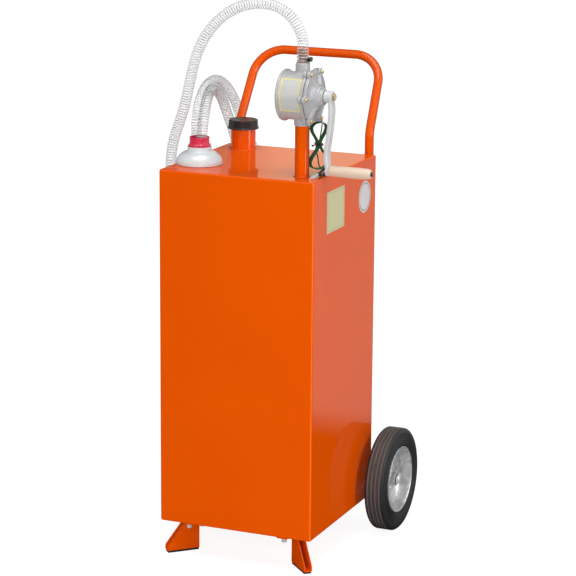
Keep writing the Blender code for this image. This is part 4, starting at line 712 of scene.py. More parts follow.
def hose_group():
    group, tree, given = new_group(
        "ribbed hose", ("Radius", "Float", HOSE_RADIUS), ("Rib Height", "Float", 0.00055),
        ("Pitch", "Float", SPIRAL_PITCH), ("Samples", "Float", 6.0), ("Sides", "Int", 18),
        ("Wire Circle", "Float", 0.0114), ("Wire Radius", "Float", 0.0005), ("Wire Samples", "Float", 12.0),
        ("Wall", "Material", None), ("Wire", "Material", None),
    )

    def walked(samples):
        return tree.node("GeometryNodeResampleCurve", {"mode": "LENGTH"}, {
            "Curve": given["Geometry"], "Length": given["Pitch"] / given[samples],
        })

    def swept(line, sides, size, look):
        ring = tree.node("GeometryNodeCurvePrimitiveCircle", None, {"Resolution": sides, "Radius": 1.0})
        body = tree.node("GeometryNodeCurveToMesh", None, {
            "Curve": line, "Profile Curve": ring, "Scale": size, "Fill Caps": True,
        })
        return tree.node("GeometryNodeSetMaterial", None, {"Geometry": body, "Material": given[look]})

    turn = tree.node("GeometryNodeSplineParameter", None, None, "Length") / given["Pitch"] * (2 * pi)
    cosine, sine = tree.math("COSINE", turn), tree.math("SINE", turn)
    # rib is 1 over each turn of the wire, where the wall's finish paints a highlight.
    wall_line = tree.node("GeometryNodeStoreNamedAttribute", {"data_type": "FLOAT", "domain": "POINT"}, {
        "Geometry": walked("Samples"), "Name": "rib", "Value": cosine * 0.5 + 0.5,
    })
    wall = swept(wall_line, given["Sides"], cosine * given["Rib Height"] + given["Radius"], "Wall")
    normal = tree.node("GeometryNodeInputNormal")
    side = tree.vector("CROSS_PRODUCT", {0: tree.node("GeometryNodeInputTangent"), 1: normal})
    out = tree.vector("ADD", {
        0: tree.vector("SCALE", {0: normal, "Scale": cosine * given["Wire Circle"]}),
        1: tree.vector("SCALE", {0: side, "Scale": sine * given["Wire Circle"]}),
    })
    wire_line = tree.node("GeometryNodeSetPosition", None, {"Geometry": walked("Wire Samples"), "Offset": out})
    wire = swept(wire_line, 4, given["Wire Radius"], "Wire")
    join = group.nodes.new("GeometryNodeJoinGeometry")
    for part in (wire, wall):
        group.links.new(part.socket, join.inputs[0])
    whole = tree.node("GeometryNodeRealizeInstances", None, {"Geometry": Value(tree, join.outputs[0])})
    tree.node("NodeGroupOutput", None, {"Geometry": whole})
    return group


hose = shaded(grown("clear_hose", path_object("hose_path", hose_path), hose_group(), Wall=CLEAR, Wire=SPIRAL_WIRE))
dressed(hose, None, "clear", "hose", "hose_end")
path_length(hose_path)
print("hose", len(hose.data.polygons), "faces", [slot.name for slot in hose.data.materials])

# %% [markdown]
# ## Earth wire
# A green wire runs from a screw of the pump's cover into a hank of four turns with a tie round its waist, and on to a
# spring clip that lies on the tank. It is one wire, so it is one curve.

# %% Earth wire, from the screw to the clip
WIRE_RADIUS = 0.0015
HEADING = radians(50.0)
HANK = Vector((0.1691, -0.1034, TOP + 0.073))
HANK_TURNS, HANK_STEP = 4, 0.0038
WAIST, PINCH, END_EASE = 0.0022, 0.25, 0.0016
UPPER_LOOP, LOWER_LOOP = (0.0505, 0.046), (0.0575, 0.060)   # height and bulge
WIRE_FALL = 0.0048 + 2 * SEAT                               # the wire starts this far below its screw
CLIP_TURN = radians(-96.8)
hank_along = Vector((cos(HEADING), sin(HEADING), 0))
hank_front = Vector((sin(HEADING), -cos(HEADING), 0))


def hank_points(turns=HANK_TURNS, steps=36):
    """Flat figure-of-eight loops that step back from the front one."""
    spots = []
    for i in range(steps * turns + 1):
        done = i / steps
        t = pi / 2 + 2 * pi * done
        rise, bulge = UPPER_LOOP if cos(t) > 0 else LOWER_LOOP
        u = -sin(t) * (WAIST + bulge * cos(t) ** 2)
        z = rise * cos(t) * (1 - PINCH * sin(t) ** 2)
        ease = 0
        for gone, sign in ((done, 1), (turns - done, -1)):
            if gone < 0.5:
                share = 1 - 2 * gone
                ease += sign * END_EASE * share * share * (3 - 2 * share)
        w = HANK_STEP * (turns / 2 - done) + ease
        spots.append(HANK + u * hank_along + w * hank_front + z * Vector((0, 0, 1)))
    return spots


hank = hank_points()
straight = Vector((0, 0, 2 * WIRE_RADIUS))
start, finish = hank[0] + straight, hank[-1] - straight
first = Vector((
    COVER_FACE + 2 * WIRE_RADIUS, RISER.y + SCREW_RING * sin(pi / 6),
    DRUM_HEIGHT - SCREW_RING * cos(pi / 6)))
first.z -= WIRE_FALL
screw_end, hank_end, clip_end = Vector((0, 0, 0.006)), Vector((0, 0, 0.012)), 0.006     # straight runs
lead = smooth_line([first, first - screw_end, first.lerp(start, 0.5), start + hank_end, start], 18)
clip_rear = Vector((0.1820, -0.0950, TOP + SEAT + 2 * WIRE_RADIUS))
clip_way = Vector((cos(CLIP_TURN), sin(CLIP_TURN), 0))
TAIL_ROUTE = mm("162.2 -92.5 38, 160 -79 18, 164.5 -66.5 7, 174.5 -62 4, 182.2 -69 3.4, 183.2 -80 3.3", 3)
tail = smooth_line([
    finish, finish - hank_end, *[Vector((x, y, TOP + up)) for x, y, up in TAIL_ROUTE],
    clip_rear - clip_way * clip_end, clip_rear - clip_way * SEAT,
], 48)
wire_path = [spot - PLAN for spot in lead + hank + tail]
wire = round_section(path_object("earth_wire", wire_path), WIRE_RADIUS, 3)
dressed(wire, WIRE_GREEN, "green", "earth_lead", "earth_hank", "earth_tail")
print("earth wire %.3f m" % path_length(wire_path))

# %% [markdown]
# ## Tank
# The real tank is folded from thick sheet: four walls, with a top and a bottom pan let in and welded, all ground
# flush under the enamel. So it is one smooth box here, with the sheet's own small radius on every edge. Rows of one
# rounded outline, stacked, give the box and the room inside it. Three cuts hollow it and open the neck and the
# suction.


# %% Tank shell
SHEET = 0.0015
NECK_HOLE, SUCTION_HOLE, CUT = 0.028, 0.0134, 0.01


def rounded_outline(half_x, half_y, radius, steps=5):
    corners = []
    for number, (sx, sy) in enumerate(((1, 1), (-1, 1), (-1, -1), (1, -1))):
        for step in range(steps + 1):
            turn = pi / 2 * (number + step / steps)
            corners.append((
                sx * (half_x - radius) + radius * cos(turn), sy * (half_y - radius) + radius * sin(turn)))
    return corners


def stacked_box(inset, corner, fold, steps=5):
    """The tank's box, set in by a distance, with rounded upright corners and folds."""
    low, high = STAND + inset, TOP - inset
    levels = []
    for step in range(steps + 1):
        t = pi / 2 * step / steps
        levels.append((fold * (1 - sin(t)), low + fold * (1 - cos(t))))
    levels += [(more, low + high - height) for more, height in reversed(levels)]
    loops = []
    for more, height in levels:
        outline = rounded_outline(HALF_WIDTH - inset - more, HALF_DEPTH - inset - more, max(corner - more, 0.0008))
        loops.append([(x, y, height) for x, y in outline])
    return loft(loops)


def carved(item, name, *cutters):
    """Cut shapes out of an object, exactly, and keep the result as a plain mesh."""
    for cutter in cutters:
        step = item.modifiers.new("cut", "BOOLEAN")
        step.operation, step.solver, step.object = "DIFFERENCE", "EXACT", cutter
    fresh = baked(item, name)
    for cutter in cutters:
        bpy.data.objects.remove(cutter, do_unlink=True)
    return fresh


def rod(radius, low, high):
    return turned([(0, low), (radius, low), (radius, high), (0, high)])


shell = carved(
    loose("shell", stacked_box(inset=0, corner=0.006, fold=0.0045), FROM_MIDDLE), "tank_shell",
    loose("room", stacked_box(inset=SHEET, corner=0.0045, fold=0.003), FROM_MIDDLE),
    loose("neck_hole", rod(NECK_HOLE, -CUT, CUT), moved(*NECK)),
    loose("suction_hole", rod(SUCTION_HOLE, -CUT, CUT), moved(*RISER)),
)
shaded(shell, 35.0).modifiers.new("even light", "WEIGHTED_NORMAL").keep_sharp = True
dressed(shell, TANK_PAINT_FOLD_HIGHLIGHT, "paint", "tank_wrap", "tank_top", "tank_bottom")
print("tank shell", len(shell.data.polygons), "faces")

# %% [markdown]
# ## Neck and cap
# The neck is a plain tube with a thin weld bead at its foot, painted with the tank. The cap is moulded: ten flat
# facets with an upright ridge where two meet, a flared lip below, and a top sunk inside a rounded rim.


# %% Filler neck
def weld_bead(radius, width, height):
    """The profile of a tube's foot with a small bead of weld round it."""
    spots = [(radius + width, SEAT)]
    for step in range(1, 7):
        t = pi / 2 * step / 6
        spots.append((radius + width * (1 - sin(t) ** 0.7), SEAT + height * (1 - cos(t)) + 0.0002))
    return spots


neck_profile = weld_bead(0.0300, 0.0032, 0.0030) + mm("30 66, 29.7 67.4, 29 68, 28.4 67.7, 28 66.8, 28 0.3")
piece("neck_tube", turned(neck_profile, 96), moved(*NECK), PAINT, "paint", "filler_neck", sharp=50)

# %% Screw cap
CAP_FOOT, CAP_CROWN, CAP_SIDES = 0.0520, 0.0739, 10
CAP_BORE = 0.0312        # rows narrower than this are inside the cap
CROWN_BAND, LIP_BAND = 0.0030, 0.0026               # heights of the rim above and of the lip below
RIDGE, RIDGE_SHARE = 0.00055, 0.035                 # how proud a ridge is, and its width as a share of a flat
FLAT_FROM, FLAT_FADE = 0.020, 0.012                 # the flats start at this radius and are full this far on
FLAT_DEPTH, LIP_DEPTH = 0.72, 0.35                  # shares of a true ten-sided shape


def facets(radius, angle, height):
    """Ten flats with a proud ridge between them. The bore stays round."""
    if radius < CAP_BORE and height < CAP_CROWN - CROWN_BAND:
        return radius
    share = (angle * CAP_SIDES / (2 * pi)) % 1.0
    off = min(share, 1 - share)
    flat = cos(pi / CAP_SIDES) / cos(pi / CAP_SIDES * (1 - 2 * off))
    ridge = RIDGE * exp(-(off / RIDGE_SHARE) ** 2)
    depth = min(1.0, max(0.0, (radius - FLAT_FROM) / FLAT_FADE))
    lip = LIP_DEPTH if height < CAP_FOOT + LIP_BAND else 1.0
    return radius * (1 + (flat - 1) * FLAT_DEPTH * depth * lip) + ridge * depth * lip


cap_profile = softened(mm("""
    0 72.7, 30 72.7, 31.8 73.9, 35.2 73.5, 35.8 70.9, 36.4 56.2, 37.2 54.8, 38.5 54, 38.6 52, 30.5 52, 30.5 70.1,
    0 70.1"""), 0.0008)
piece(
    "screw_cap", turned(cap_profile, 240, facets), moved(*NECK), CAP_PLASTIC, "black_plastic", "filler_cap",
    body="cap", sharp=50)

# %% [markdown]
# ## Riser pipe
# An inch pipe with a fillet of weld at its foot. The pump is screwed on its top.

# %% Riser pipe
riser_profile = weld_bead(0.0167, 0.0032, 0.0034) + mm("16.7 130.6, 13.3 130.6, 13.3 0.3")
piece("inch_riser", turned(riser_profile), moved(*RISER), TUBE_PAINT_EDGE_SHADE, "paint", "riser_pipe", sharp=50)

# %% [markdown]
# ## Bell and collar
# The bell is spun from one sheet over a form, so its outline is one soft curve that ends in a rolled rim below and a
# short straight neck above. The red collar is moulded, with a scalloped flange that fingers can turn.


# %% Drip bell
BELL_RIM, ROLL_RADIUS, ROLL_STEPS = 0.0555, 0.0018, 9
WALL_IN, WALL_DOWN = 0.0022, 0.0016                 # from the bell's outside to its inside


def soft_outline(points, count):
    """A smooth line through a few points of a profile."""
    return [(spot.x, spot.z) for spot in smooth_line([(r, 0, z) for r, z in points], count)]


bell_outside = soft_outline(
    mm("55.1 3.4, 54.5 8, 52.6 13.4, 49.4 18.8, 44.8 23.6, 39 27.5, 33.6 29.8, 29.8 30.9"), 40)
rolled_rim = [
    (BELL_RIM - ROLL_RADIUS + ROLL_RADIUS * cos(t), ROLL_RADIUS - ROLL_RADIUS * sin(t))
    for t in [pi / 2 + 0.4 - (pi * 0.5 + 1.2) * step / ROLL_STEPS for step in range(ROLL_STEPS + 1)]
]
bell_profile = mm("52.2 1.2") + rolled_rim + bell_outside + mm(
    "28.9 31.6, 28.7 33.2, 28.7 40.9, 28.4 41.6, 27.8 41.7, 26.4 41.5, 26.1 41, 26.1 30")
bell_profile += [(r - WALL_IN, z - WALL_DOWN) for r, z in reversed(bell_outside[2:-4:2])]
piece("spun_bell", turned(bell_profile, 120), moved(*BELL), SILVER, "silver", "drip_bell", sharp=55)

# %% Bell collar
COLLAR_LOW, COLLAR_BORE = 0.0420, 0.0225
LOBES, LOBE_DEEP, LOBE_TURN = 8, 0.0019, 0.7
LOBE_FROM, LOBE_FADE = 0.0236, 0.0030               # the lobes start at this radius and are full this far on
LUMP = 0.00012


def scalloped(radius, angle, height):
    """Lobes round the flange, and a slightly lumpy wall."""
    if height < COLLAR_LOW - 0.0001 or radius < COLLAR_BORE:
        return radius
    lobe = 0.5 + 0.5 * cos(LOBES * angle + LOBE_TURN)
    wide = min(1.0, max(0.0, (radius - LOBE_FROM) / LOBE_FADE))
    return radius - LOBE_DEEP * wide * (1 - lobe ** 0.6) + LUMP * sin(5 * angle)


collar_profile = softened(mm("""
    21.5 34, 25.8 34, 25.8 42, 27.5 42.2, 27.5 45, 26.2 47.2, 23.6 48.6, 23.2 61, 23.8 62, 23.8 63.8, 23 64.4,
    22.1 64.4, 21.5 63.6"""), 0.0007, ring=True)
piece(
    "scalloped_collar", turned(collar_profile, 160, scalloped), moved(*BELL), COLLAR_RED, "red", "bell_collar",
    body="collar", sharp=50)

# %% [markdown]
# ## Pump
# A die casting has no sharp edge anywhere: metal shrinks from every corner of the die. The easiest way to such a skin
# is to lay the plain forms into each other and let a voxel remesh melt them into one. A few rounds of smoothing then
# draw a fillet into each corner, as wide as the real one.


# %% Castings that melt together
def joined(*shapes):
    """Several shapes as one, each of them closed."""
    whole = bmesh.new()
    for shape in shapes:
        data = bpy.data.meshes.new("part")
        bmesh.ops.recalc_face_normals(shape, faces=shape.faces[:])
        shape.to_mesh(data)
        shape.free()
        whole.from_mesh(data)
        bpy.data.meshes.remove(data)
    return whole


def melted(name, shapes, place, voxel, rounds, look, slot, *nodes, body="caddy"):
    """A casting: the shapes in it become one skin with a fillet in every corner."""
    shape = joined(*shapes)
    data = bpy.data.meshes.new(name)
    shape.to_mesh(data)
    shape.free()
    item = added(name, data)
    melt = item.modifiers.new("melt", "REMESH")
    melt.mode, melt.voxel_size, melt.use_smooth_shade = "VOXEL", voxel, True
    soft = item.modifiers.new("soft", "SMOOTH")
    soft.factor, soft.iterations = 0.5, rounds
    fresh = baked(item, name)
    fresh.data.transform(place)
    dressed(shaded(fresh), look, slot, *nodes, body=body)
    print(name, len(fresh.data.polygons), "faces")


# %% Outline with six ears
FLANGE, EAR = 0.0590, 0.0085
BORE = 0.0112            # rows narrower than this are the shaft's bore
SHAFT_OFF = 0.0020       # the shaft lies this far above the drum's middle
CRANK_FACE = 0.1975      # where the crank's hub starts, across the tank
PORT_MIDDLE = 0.0449     # the ports stand this far from the drum's rear face
PUMP = moved(DRUM_BACK, RISER.y, DRUM_HEIGHT, ALONG_X)
CRANK = moved(CRANK_FACE, RISER.y, DRUM_HEIGHT + SHAFT_OFF, ALONG_X)
SCREW_TURNS = [pi / 6 + pi / 3 * number for number in range(6)]


def eared(radius, angle, height):
    """A round flange with an ear at each screw. Narrow rows are the bore, which is on the shaft's axis."""
    if radius < BORE:
        return -SHAFT_OFF * cos(angle) + sqrt(radius ** 2 - (SHAFT_OFF * sin(angle)) ** 2)
    if abs(radius - FLANGE) > 1e-6:
        return radius
    off = angle % (pi / 3) - pi / 6
    side = SCREW_RING * sin(off)
    if abs(side) >= EAR:
        return radius
    return max(radius, SCREW_RING * cos(off) + sqrt(EAR ** 2 - side ** 2))


# %% Pump body
# The chamber is 1.5 mm wider and deeper than the solids' one, so that its filleted corner stays clear of the vanes.
PORT = Matrix.Translation((0, 0, PORT_MIDDLE))
DOWN = PORT @ Matrix.Rotation(pi / 2, 4, "Y")
UP = PORT @ Matrix.Rotation(-pi / 2, 4, "Y")
drum = turned(mm("""
    0 0, 14 0, 16.5 2.5, 44 2.5, 48 0, 58.3 0, 59.4 1.2, 59.4 6.2, 58.3 7.2, 56 7.4, 55.5 8.8, 55.3 59, 56.8 60.4,
    59 60.9, 59 68.9, 48.5 68.9, 48.5 7.6, 6.3 7.6, 6.3 3, 0 3"""), 360, eared)
inlet = turned(
    mm("0 49, 20 49, 19.3 56, 19 59, 19 66.2, 18.4 68.3, 17 68.3, 17 56.5, 13 56, 0 56"), 96, turn=DOWN)
outlet = turned(
    mm("0 49, 17.2 49, 16.8 56, 16.6 60, 16.6 74.2, 16 76.4, 11.2 76.4, 11.2 64.5, 0 64"), 96, turn=UP)
ear_roots = [
    turned(mm("0 57.2, 6 57.2, 8.2 61.2, 0 61.2"), 32, turn=Matrix.Translation(
        (FLANGE * cos(turn), FLANGE * sin(turn), 0))) for turn in SCREW_TURNS
]
melted("pump_casting", (drum, inlet, outlet, *ear_roots), PUMP, 0.00105, 5, CAST, "cast", "pump_body")

# %% [markdown]
# The cover is a dish with six ribs that run from the screws up to a stepped boss. Between the ribs the metal sinks in
# rounded pockets. A pad stands under each screw head.

# %% Pump cover and gasket
cover_parts = [turned(mm("""
    6.3 70.4, 59 70.4, 59 78.3, 54.8 78.3, 53 76.4, 44 76.2, 35.5 77.8, 31.8 80.6, 30.2 85, 29.6 86.3, 24.6 86.6,
    24 87.2, 24 92.2, 23.2 92.7, 19.6 92.7, 19 93.4, 19 99.2, 18.3 99.8, 10.9 99.8, 10.9 92.2, 6.3 92.2
    """), 360, eared)]
RIB_FOOT = 0.0722
RIB = mm("20 6.2 88.5, 27 5.6 87.2, 33 5.2 85.2, 41 5 82.6, 48 5.2 80.6, 53 5.8 79.2, 56.2 6.2 78.4", 3)
for turn in SCREW_TURNS:
    spin = Matrix.Rotation(turn, 4, "Z")
    cover_parts.append(loft([
        [spin @ Vector((out, y, z)) for y, z in (
            (-half * 1.25, RIB_FOOT), (half * 1.25, RIB_FOOT), (half * 0.62, top), (-half * 0.62, top))]
        for out, half, top in RIB
    ]))
melted("cover_casting", cover_parts, PUMP, 0.00085, 4, CAST, "cast", "pump_cover")
piece(
    "joint_sheet", turned(mm("47 69.2, 59 69.2, 59 70, 47 70"), 240, eared), PUMP, FIBRE, "fibre", "pump_gasket")

# %% [markdown]
# ## Screws and bolts
# The caddy has several sets of like fasteners. One head is modelled well, and a node tree sets a copy on each point
# of a small point mesh, along that point's own direction, and turned by chance, as no fitter lines them up.


# %% Screw heads
def pan_head(radius, height, sides=28):
    """A pan head with a cross recess."""
    head = turned(softened([
        (0, 0), (radius, 0), (radius, height * 0.45), (radius * 0.86, height * 0.86), (radius * 0.5, height),
        (0, height),
    ], height * 0.3), sides)
    cutters = []
    for turn in (0.0, pi / 2):
        spin = Matrix.Rotation(turn, 4, "Z")
        long, wide = radius * 0.62, radius * 0.13
        outline = [spin @ Vector((x, y, 0)) for x, y in ((-long, -wide), (long, -wide), (long, wide), (-long, wide))]
        cutters.append(loose("slot", plate([(p.x, p.y) for p in outline], height * 0.45, height * 2)))
    return carved(loose("pan_head", head), "pan_head", *cutters)


def hex_head(radius, height, washer):
    """A hexagon head on a washer, with its corners turned off."""
    shape = bmesh.new()
    low = 0.0012
    turned(softened([(0, 0), (washer, 0), (washer, low), (0, low)], low * 0.4), 32, shape=shape)

    def hexagon(far, angle, level):
        share = cos(pi / 6) / cos((angle + pi / 6) % (pi / 3) - pi / 6)
        return far if level < low + 1e-5 or level > height - 1e-5 else far * share

    turned([
        (0, low + 2e-5), (radius, low + 2e-5), (radius, height * 0.9), (radius * 0.84, height), (0, height),
    ], 36, hexagon, shape)
    return loose("hex_head", shape)


def fastener_group():
    group, tree, given = new_group(
        "fasteners at points", ("Head", "Object", None), ("Size", "Float", 1.0), ("Seed", "Int", 4),
        ("Finish", "Material", None),
    )
    head = tree.node("GeometryNodeObjectInfo", None, {"Object": given["Head"]}, "Geometry")
    aim = tree.node("GeometryNodeInputNamedAttribute", {"data_type": "FLOAT_VECTOR"}, {"Name": "aim"}, "Attribute")
    along = tree.node("FunctionNodeAlignRotationToVector", {"axis": "Z"}, {"Vector": aim})
    chance = tree.node("FunctionNodeRandomValue", {"data_type": "FLOAT"}, {3: 2 * pi, "Seed": given["Seed"]}, 1)
    spin = tree.node("FunctionNodeAxisAngleToRotation", None, {"Axis": (0, 0, 1), "Angle": chance})
    turn = tree.node("FunctionNodeRotateRotation", {"rotation_space": "LOCAL"}, {
        "Rotation": along, "Rotate By": spin,
    })
    copies = tree.node("GeometryNodeInstanceOnPoints", None, {
        "Points": given["Geometry"], "Instance": head, "Rotation": turn, "Scale": given["Size"],
    })
    solid = tree.node("GeometryNodeRealizeInstances", None, {"Geometry": copies})
    solid = tree.node("GeometryNodeSetMaterial", None, {"Geometry": solid, "Material": given["Finish"]})
    tree.node("NodeGroupOutput", None, {"Geometry": solid})
    return group


FASTENERS = fastener_group()


def fastened(name, spots, way, head, look, slot, *nodes):
    """A head at each spot, all of which look the same way."""
    data = bpy.data.meshes.new(name + "_points")
    data.from_pydata([tuple(Vector(spot) - PLAN) for spot in spots], [], [])
    data.attributes.new("aim", "FLOAT_VECTOR", "POINT").data.foreach_set("vector", way * len(spots))
    fresh = shaded(grown(name, added(name + "_points", data), FASTENERS, Head=head, Finish=look), 32)
    bpy.data.objects.remove(head, do_unlink=True)
    dressed(fresh, None, slot, *nodes)
    print(name, len(spots), "heads", len(fresh.data.polygons), "faces")


# %% Screws of the cover, bolts of the handle and the feet
HANDLE_X, HANDLE_Y, TUBE_RADIUS = 0.1722, 0.2083, 0.0110
BOLT_DROPS, BOLT_SINK = (0.0700, 0.2620), 0.0004            # below the tank's top, and into the tube's flat
FOOT = Vector((0.1214, -0.1329, 0.0809))
FOOT_BOLTS = mm("38.5 -34.5, 38.5 34.5, 7 40, 7 -34")       # along the foot, and across it
fastened("cover_screws", [
    (COVER_FACE + SEAT, RISER.y + SCREW_RING * sin(turn), DRUM_HEIGHT - SCREW_RING * cos(turn))
    for turn in SCREW_TURNS
], (1, 0, 0), pan_head(0.0050, 0.0044), BRASS, "brass", *["cover_screw_%d" % number for number in range(1, 7)])
fastened("handle_bolts", [
    (side * HANDLE_X, HANDLE_Y + TUBE_RADIUS - BOLT_SINK, TOP - drop) for side, _ in SIDES for drop in BOLT_DROPS
], (0, 1, 0), hex_head(0.0056, 0.0048, 0.0060), ZINC, "steel", *["handle_bolt_%d" % number for number in range(1, 5)])
foot_spots = []
for side, _ in SIDES:
    way, wing = Vector((side, -1, 0)).normalized(), Vector((side, 1, 0)).normalized()
    foot_spots += [Vector((side * FOOT.x, FOOT.y, FOOT.z)) + way * along + wing * over for along, over in FOOT_BOLTS]
fastened("foot_bolts", foot_spots, (0, 0, -1), hex_head(0.0064, 0.0092, 0.0074), NICKEL, "steel")

# %% [markdown]
# ## Crank
# The arm is cast too: a flat bar that leaves the hub's face, swings in behind it and runs down to the boss that holds
# the grip. Its middle line is smooth, its thickness is even, and its edges are round.

# %% Crank arm
THROW, HUB_LONG, ARM_THICK = 0.1705, 0.0190, 0.0080
ARM_WIDE, ARM_TAPER = 0.0270, 0.0034
ARM_START, ARM_END = 0.0088, THROW - 0.0070         # the bar runs inside the hub and the boss from here on
EYE_OUT = 0.45                                      # the boss's middle, as a share of the hub
ARM_LINE = (                                        # share of the throw, and how far out as a share of the hub
    (0, 0.78), (0.07, 0.78), (0.19, 0.868), (0.47, 0.653), (0.61, 0.489), (0.75, 0.32), (0.87, 0.34), (0.955, 0.45),
    (1.0, 0.45))
loops = []
for spot in smooth_line([(drop * THROW, 0, out * HUB_LONG) for drop, out in ARM_LINE], 60):
    if ARM_START < spot.x < ARM_END:
        half = (ARM_WIDE - ARM_TAPER * spot.x / THROW) / 2
        section = rounded_outline(half, ARM_THICK / 2 + 0.0009, 0.0030, 4)
        loops.append([(spot.x, y, spot.z + z) for y, z in section])
hub = turned(mm("6.3 0, 13.4 0, 14 0.8, 14 17.8, 13 19, 6.3 19"), 96)
end_z = EYE_OUT * HUB_LONG
AT_END = CRANK @ Matrix.Translation((THROW, 0, 0))
eye = turned(
    [(radius, end_z + z) for radius, z in mm("3.8 -4, 11.4 -4, 12 -3.2, 12 3.2, 11.4 4, 3.8 4")], 64,
    turn=Matrix.Translation((THROW, 0, 0)))
melted("arm_casting", (loft(loops), hub, eye), CRANK, 0.0007, 5, ARM_CAST, "cast", "crank_arm", body="crank")

# %% Nut, grip and grip pin
GRIP_LONG, GRIP_RADIUS = 0.1015, 0.0125
GRIP_START = end_z + ARM_THICK / 2 + SEAT
nut = turned(mm("4.3 19.3, 9 19.3, 9 24.6, 8.2 24.9, 5 24.9, 4.3 24.3"), 6)
piece("arm_nut", nut, CRANK, BRASS, "brass", "crank_nut", body="crank", sharp=25, bevel=0.0005)
grip_outline = soft_outline([(share * GRIP_RADIUS, run * GRIP_LONG) for run, share in (
    (0.012, 0.92), (0.06, 0.955), (0.2, 0.97), (0.45, 1.02), (0.7, 1.04), (0.9, 0.98), (0.965, 0.90), (0.99, 0.80),
)], 60)
grip_profile = mm("3.8 0, 9.5 0, 10.6 0.4") + grip_outline + mm("8.8 101.3, 3.8 101.5")
piece(
    "turned_grip", turned(grip_profile), CRANK @ Matrix.Translation((THROW, 0, GRIP_START)), WOOD, "wood",
    "crank_grip", body="grip")
tip = GRIP_START + GRIP_LONG + SEAT
pin_profile = [(radius, end_z + z) for radius, z in mm("0 -6.1, 3 -5.8, 5 -5, 5.6 -4.3, 3.5 -4.3")]
pin_profile += [(radius, tip + z) for radius, z in mm("3.5 0, 5.7 0, 5.8 1, 5 2.5, 3 3.4, 0 3.6")]
piece("grip_rivet", turned(pin_profile, 40), AT_END, DARK_STEEL, "steel", "grip_pin", body="crank")

# %% [markdown]
# ## Spout and clamp
# The hose is pushed over a barbed spout, which shows through its clear wall as a stack of copper rings. A clamp of
# two wires holds it, drawn together by a dark screw in a saddle at the side.

# %% Barbed spout
BARBS, REACH = 6, 0.0312
SPOUT = moved(RISER.x, RISER.y, OUTLET_FACE)
barb = (REACH - 0.0012) / BARBS
spout_profile = mm("7 -11.8, 10.5 -11.8, 10.5 -0.3, 10 0.4")
for number in range(BARBS):
    low = 0.0006 + barb * number
    spout_profile += [(0.0101, low), (0.0102, low + 0.25 * barb), (0.0086, low + 0.92 * barb)]
spout_profile += [(0.0084, REACH), (0.0070, REACH)]
piece("barbed_spout", turned(spout_profile, 64), SPOUT, COPPER, "brass", "outlet_spout", sharp=25)

# %% Double wire clamp
CLAMP_RING, CLAMP_WIRE = 0.0142, 0.0008
WIRE_HEIGHTS, SCREW_HEIGHT = (0.0036, 0.0124), 0.0080
SADDLE_OUT, SCREW_OUT = 0.0180, 0.0186
wire_rings = [
    turned([
        (CLAMP_RING + CLAMP_WIRE * cos(t), height + CLAMP_WIRE * sin(t))
        for t in [pi / 5 * k for k in range(10)]
    ], 96) for height in WIRE_HEIGHTS
]
piece("wire_clamp", joined(*wire_rings), SPOUT, ZINC, "steel", "hose_clamp", sharp=35)
saddle = plate(rounded_outline(0.0034, 0.0076, 0.0020), 0.0030, 0.0130, Matrix.Translation((SADDLE_OUT, 0, 0)))
piece("clamp_saddle", saddle, SPOUT, DARK_STEEL, "dark_steel", sharp=35, bevel=0.0005)
worm = turned(softened(mm("""
    0 -9.3, 2.7 -9.3, 2.9 -8.5, 2.9 8.2, 4 8.3, 4.2 9, 4.2 11.8, 3.8 12.3, 0 12.3"""), 0.0003), 40)
worm_place = moved(RISER.x + SCREW_OUT, RISER.y, OUTLET_FACE + SCREW_HEIGHT, ALONG_FRONT)
piece("clamp_bolt", worm, worm_place, DARK_STEEL, "dark_steel", "clamp_screw")

# %% [markdown]
# ## Handle
# One tube is bent in four places: up the back wall, back over the wheels, and round two wide corners. Its middle line
# is worked out from straight runs and arcs, as a bender is set, and a curve with a round section makes the tube.


# %% Push handle
KNEE_UP, KNEE_RADIUS, HANDLE_TAIL = 0.0504, 0.0450, 0.3000
LEAN, LEAN_LONG, CORNER, LEAN_IN = radians(30.6), 0.2007, 0.0738, 0.0055


def bend_points(corner, before, after, radius, steps):
    """Points round a bend between two directions that meet at a corner."""
    angle = before.angle(after)
    start = corner - before * radius * tan(angle / 2)
    inward = (after - before * before.dot(after)).normalized()
    centre = start + inward * radius
    turns = [angle * step / steps for step in range(steps + 1)]
    return [centre + radius * (sin(t) * before - cos(t) * inward) for t in turns]


knee = Vector((HANDLE_X, HANDLE_Y, TOP + KNEE_UP))
back_up = Vector((-LEAN_IN / (LEAN_LONG - CORNER), sin(LEAN), cos(LEAN))).normalized()
right_side = [Vector((HANDLE_X, HANDLE_Y, TOP - HANDLE_TAIL))]
right_side += bend_points(knee, Vector((0, 0, 1)), back_up, KNEE_RADIUS, 12)
right_side += bend_points(knee + back_up * LEAN_LONG, back_up, Vector((-1, 0, 0)), CORNER, 28)
handle_path = [spot - PLAN for spot in right_side]
handle_path += [Vector((-spot.x, spot.y, spot.z)) - PLAN for spot in reversed(right_side)]
handle = shaded(baked(round_section(path_object("handle", handle_path), TUBE_RADIUS, 10), "push_handle"), 40)
dressed(handle, TUBE_PAINT_EDGE_SHADE, "paint", "handle_tube")
print("handle", len(handle.data.polygons), "faces, %.2f m of tube" % path_length(handle_path))

# %% [markdown]
# ## Wheels
# Each wheel is a solid rubber tyre on a pressed rim. The tread has four grooves, and low rings run round the
# sidewall. The rim is one pressing: a bright rolled edge, a deep wall, a dish with a step in it, and the hub tube
# through it.


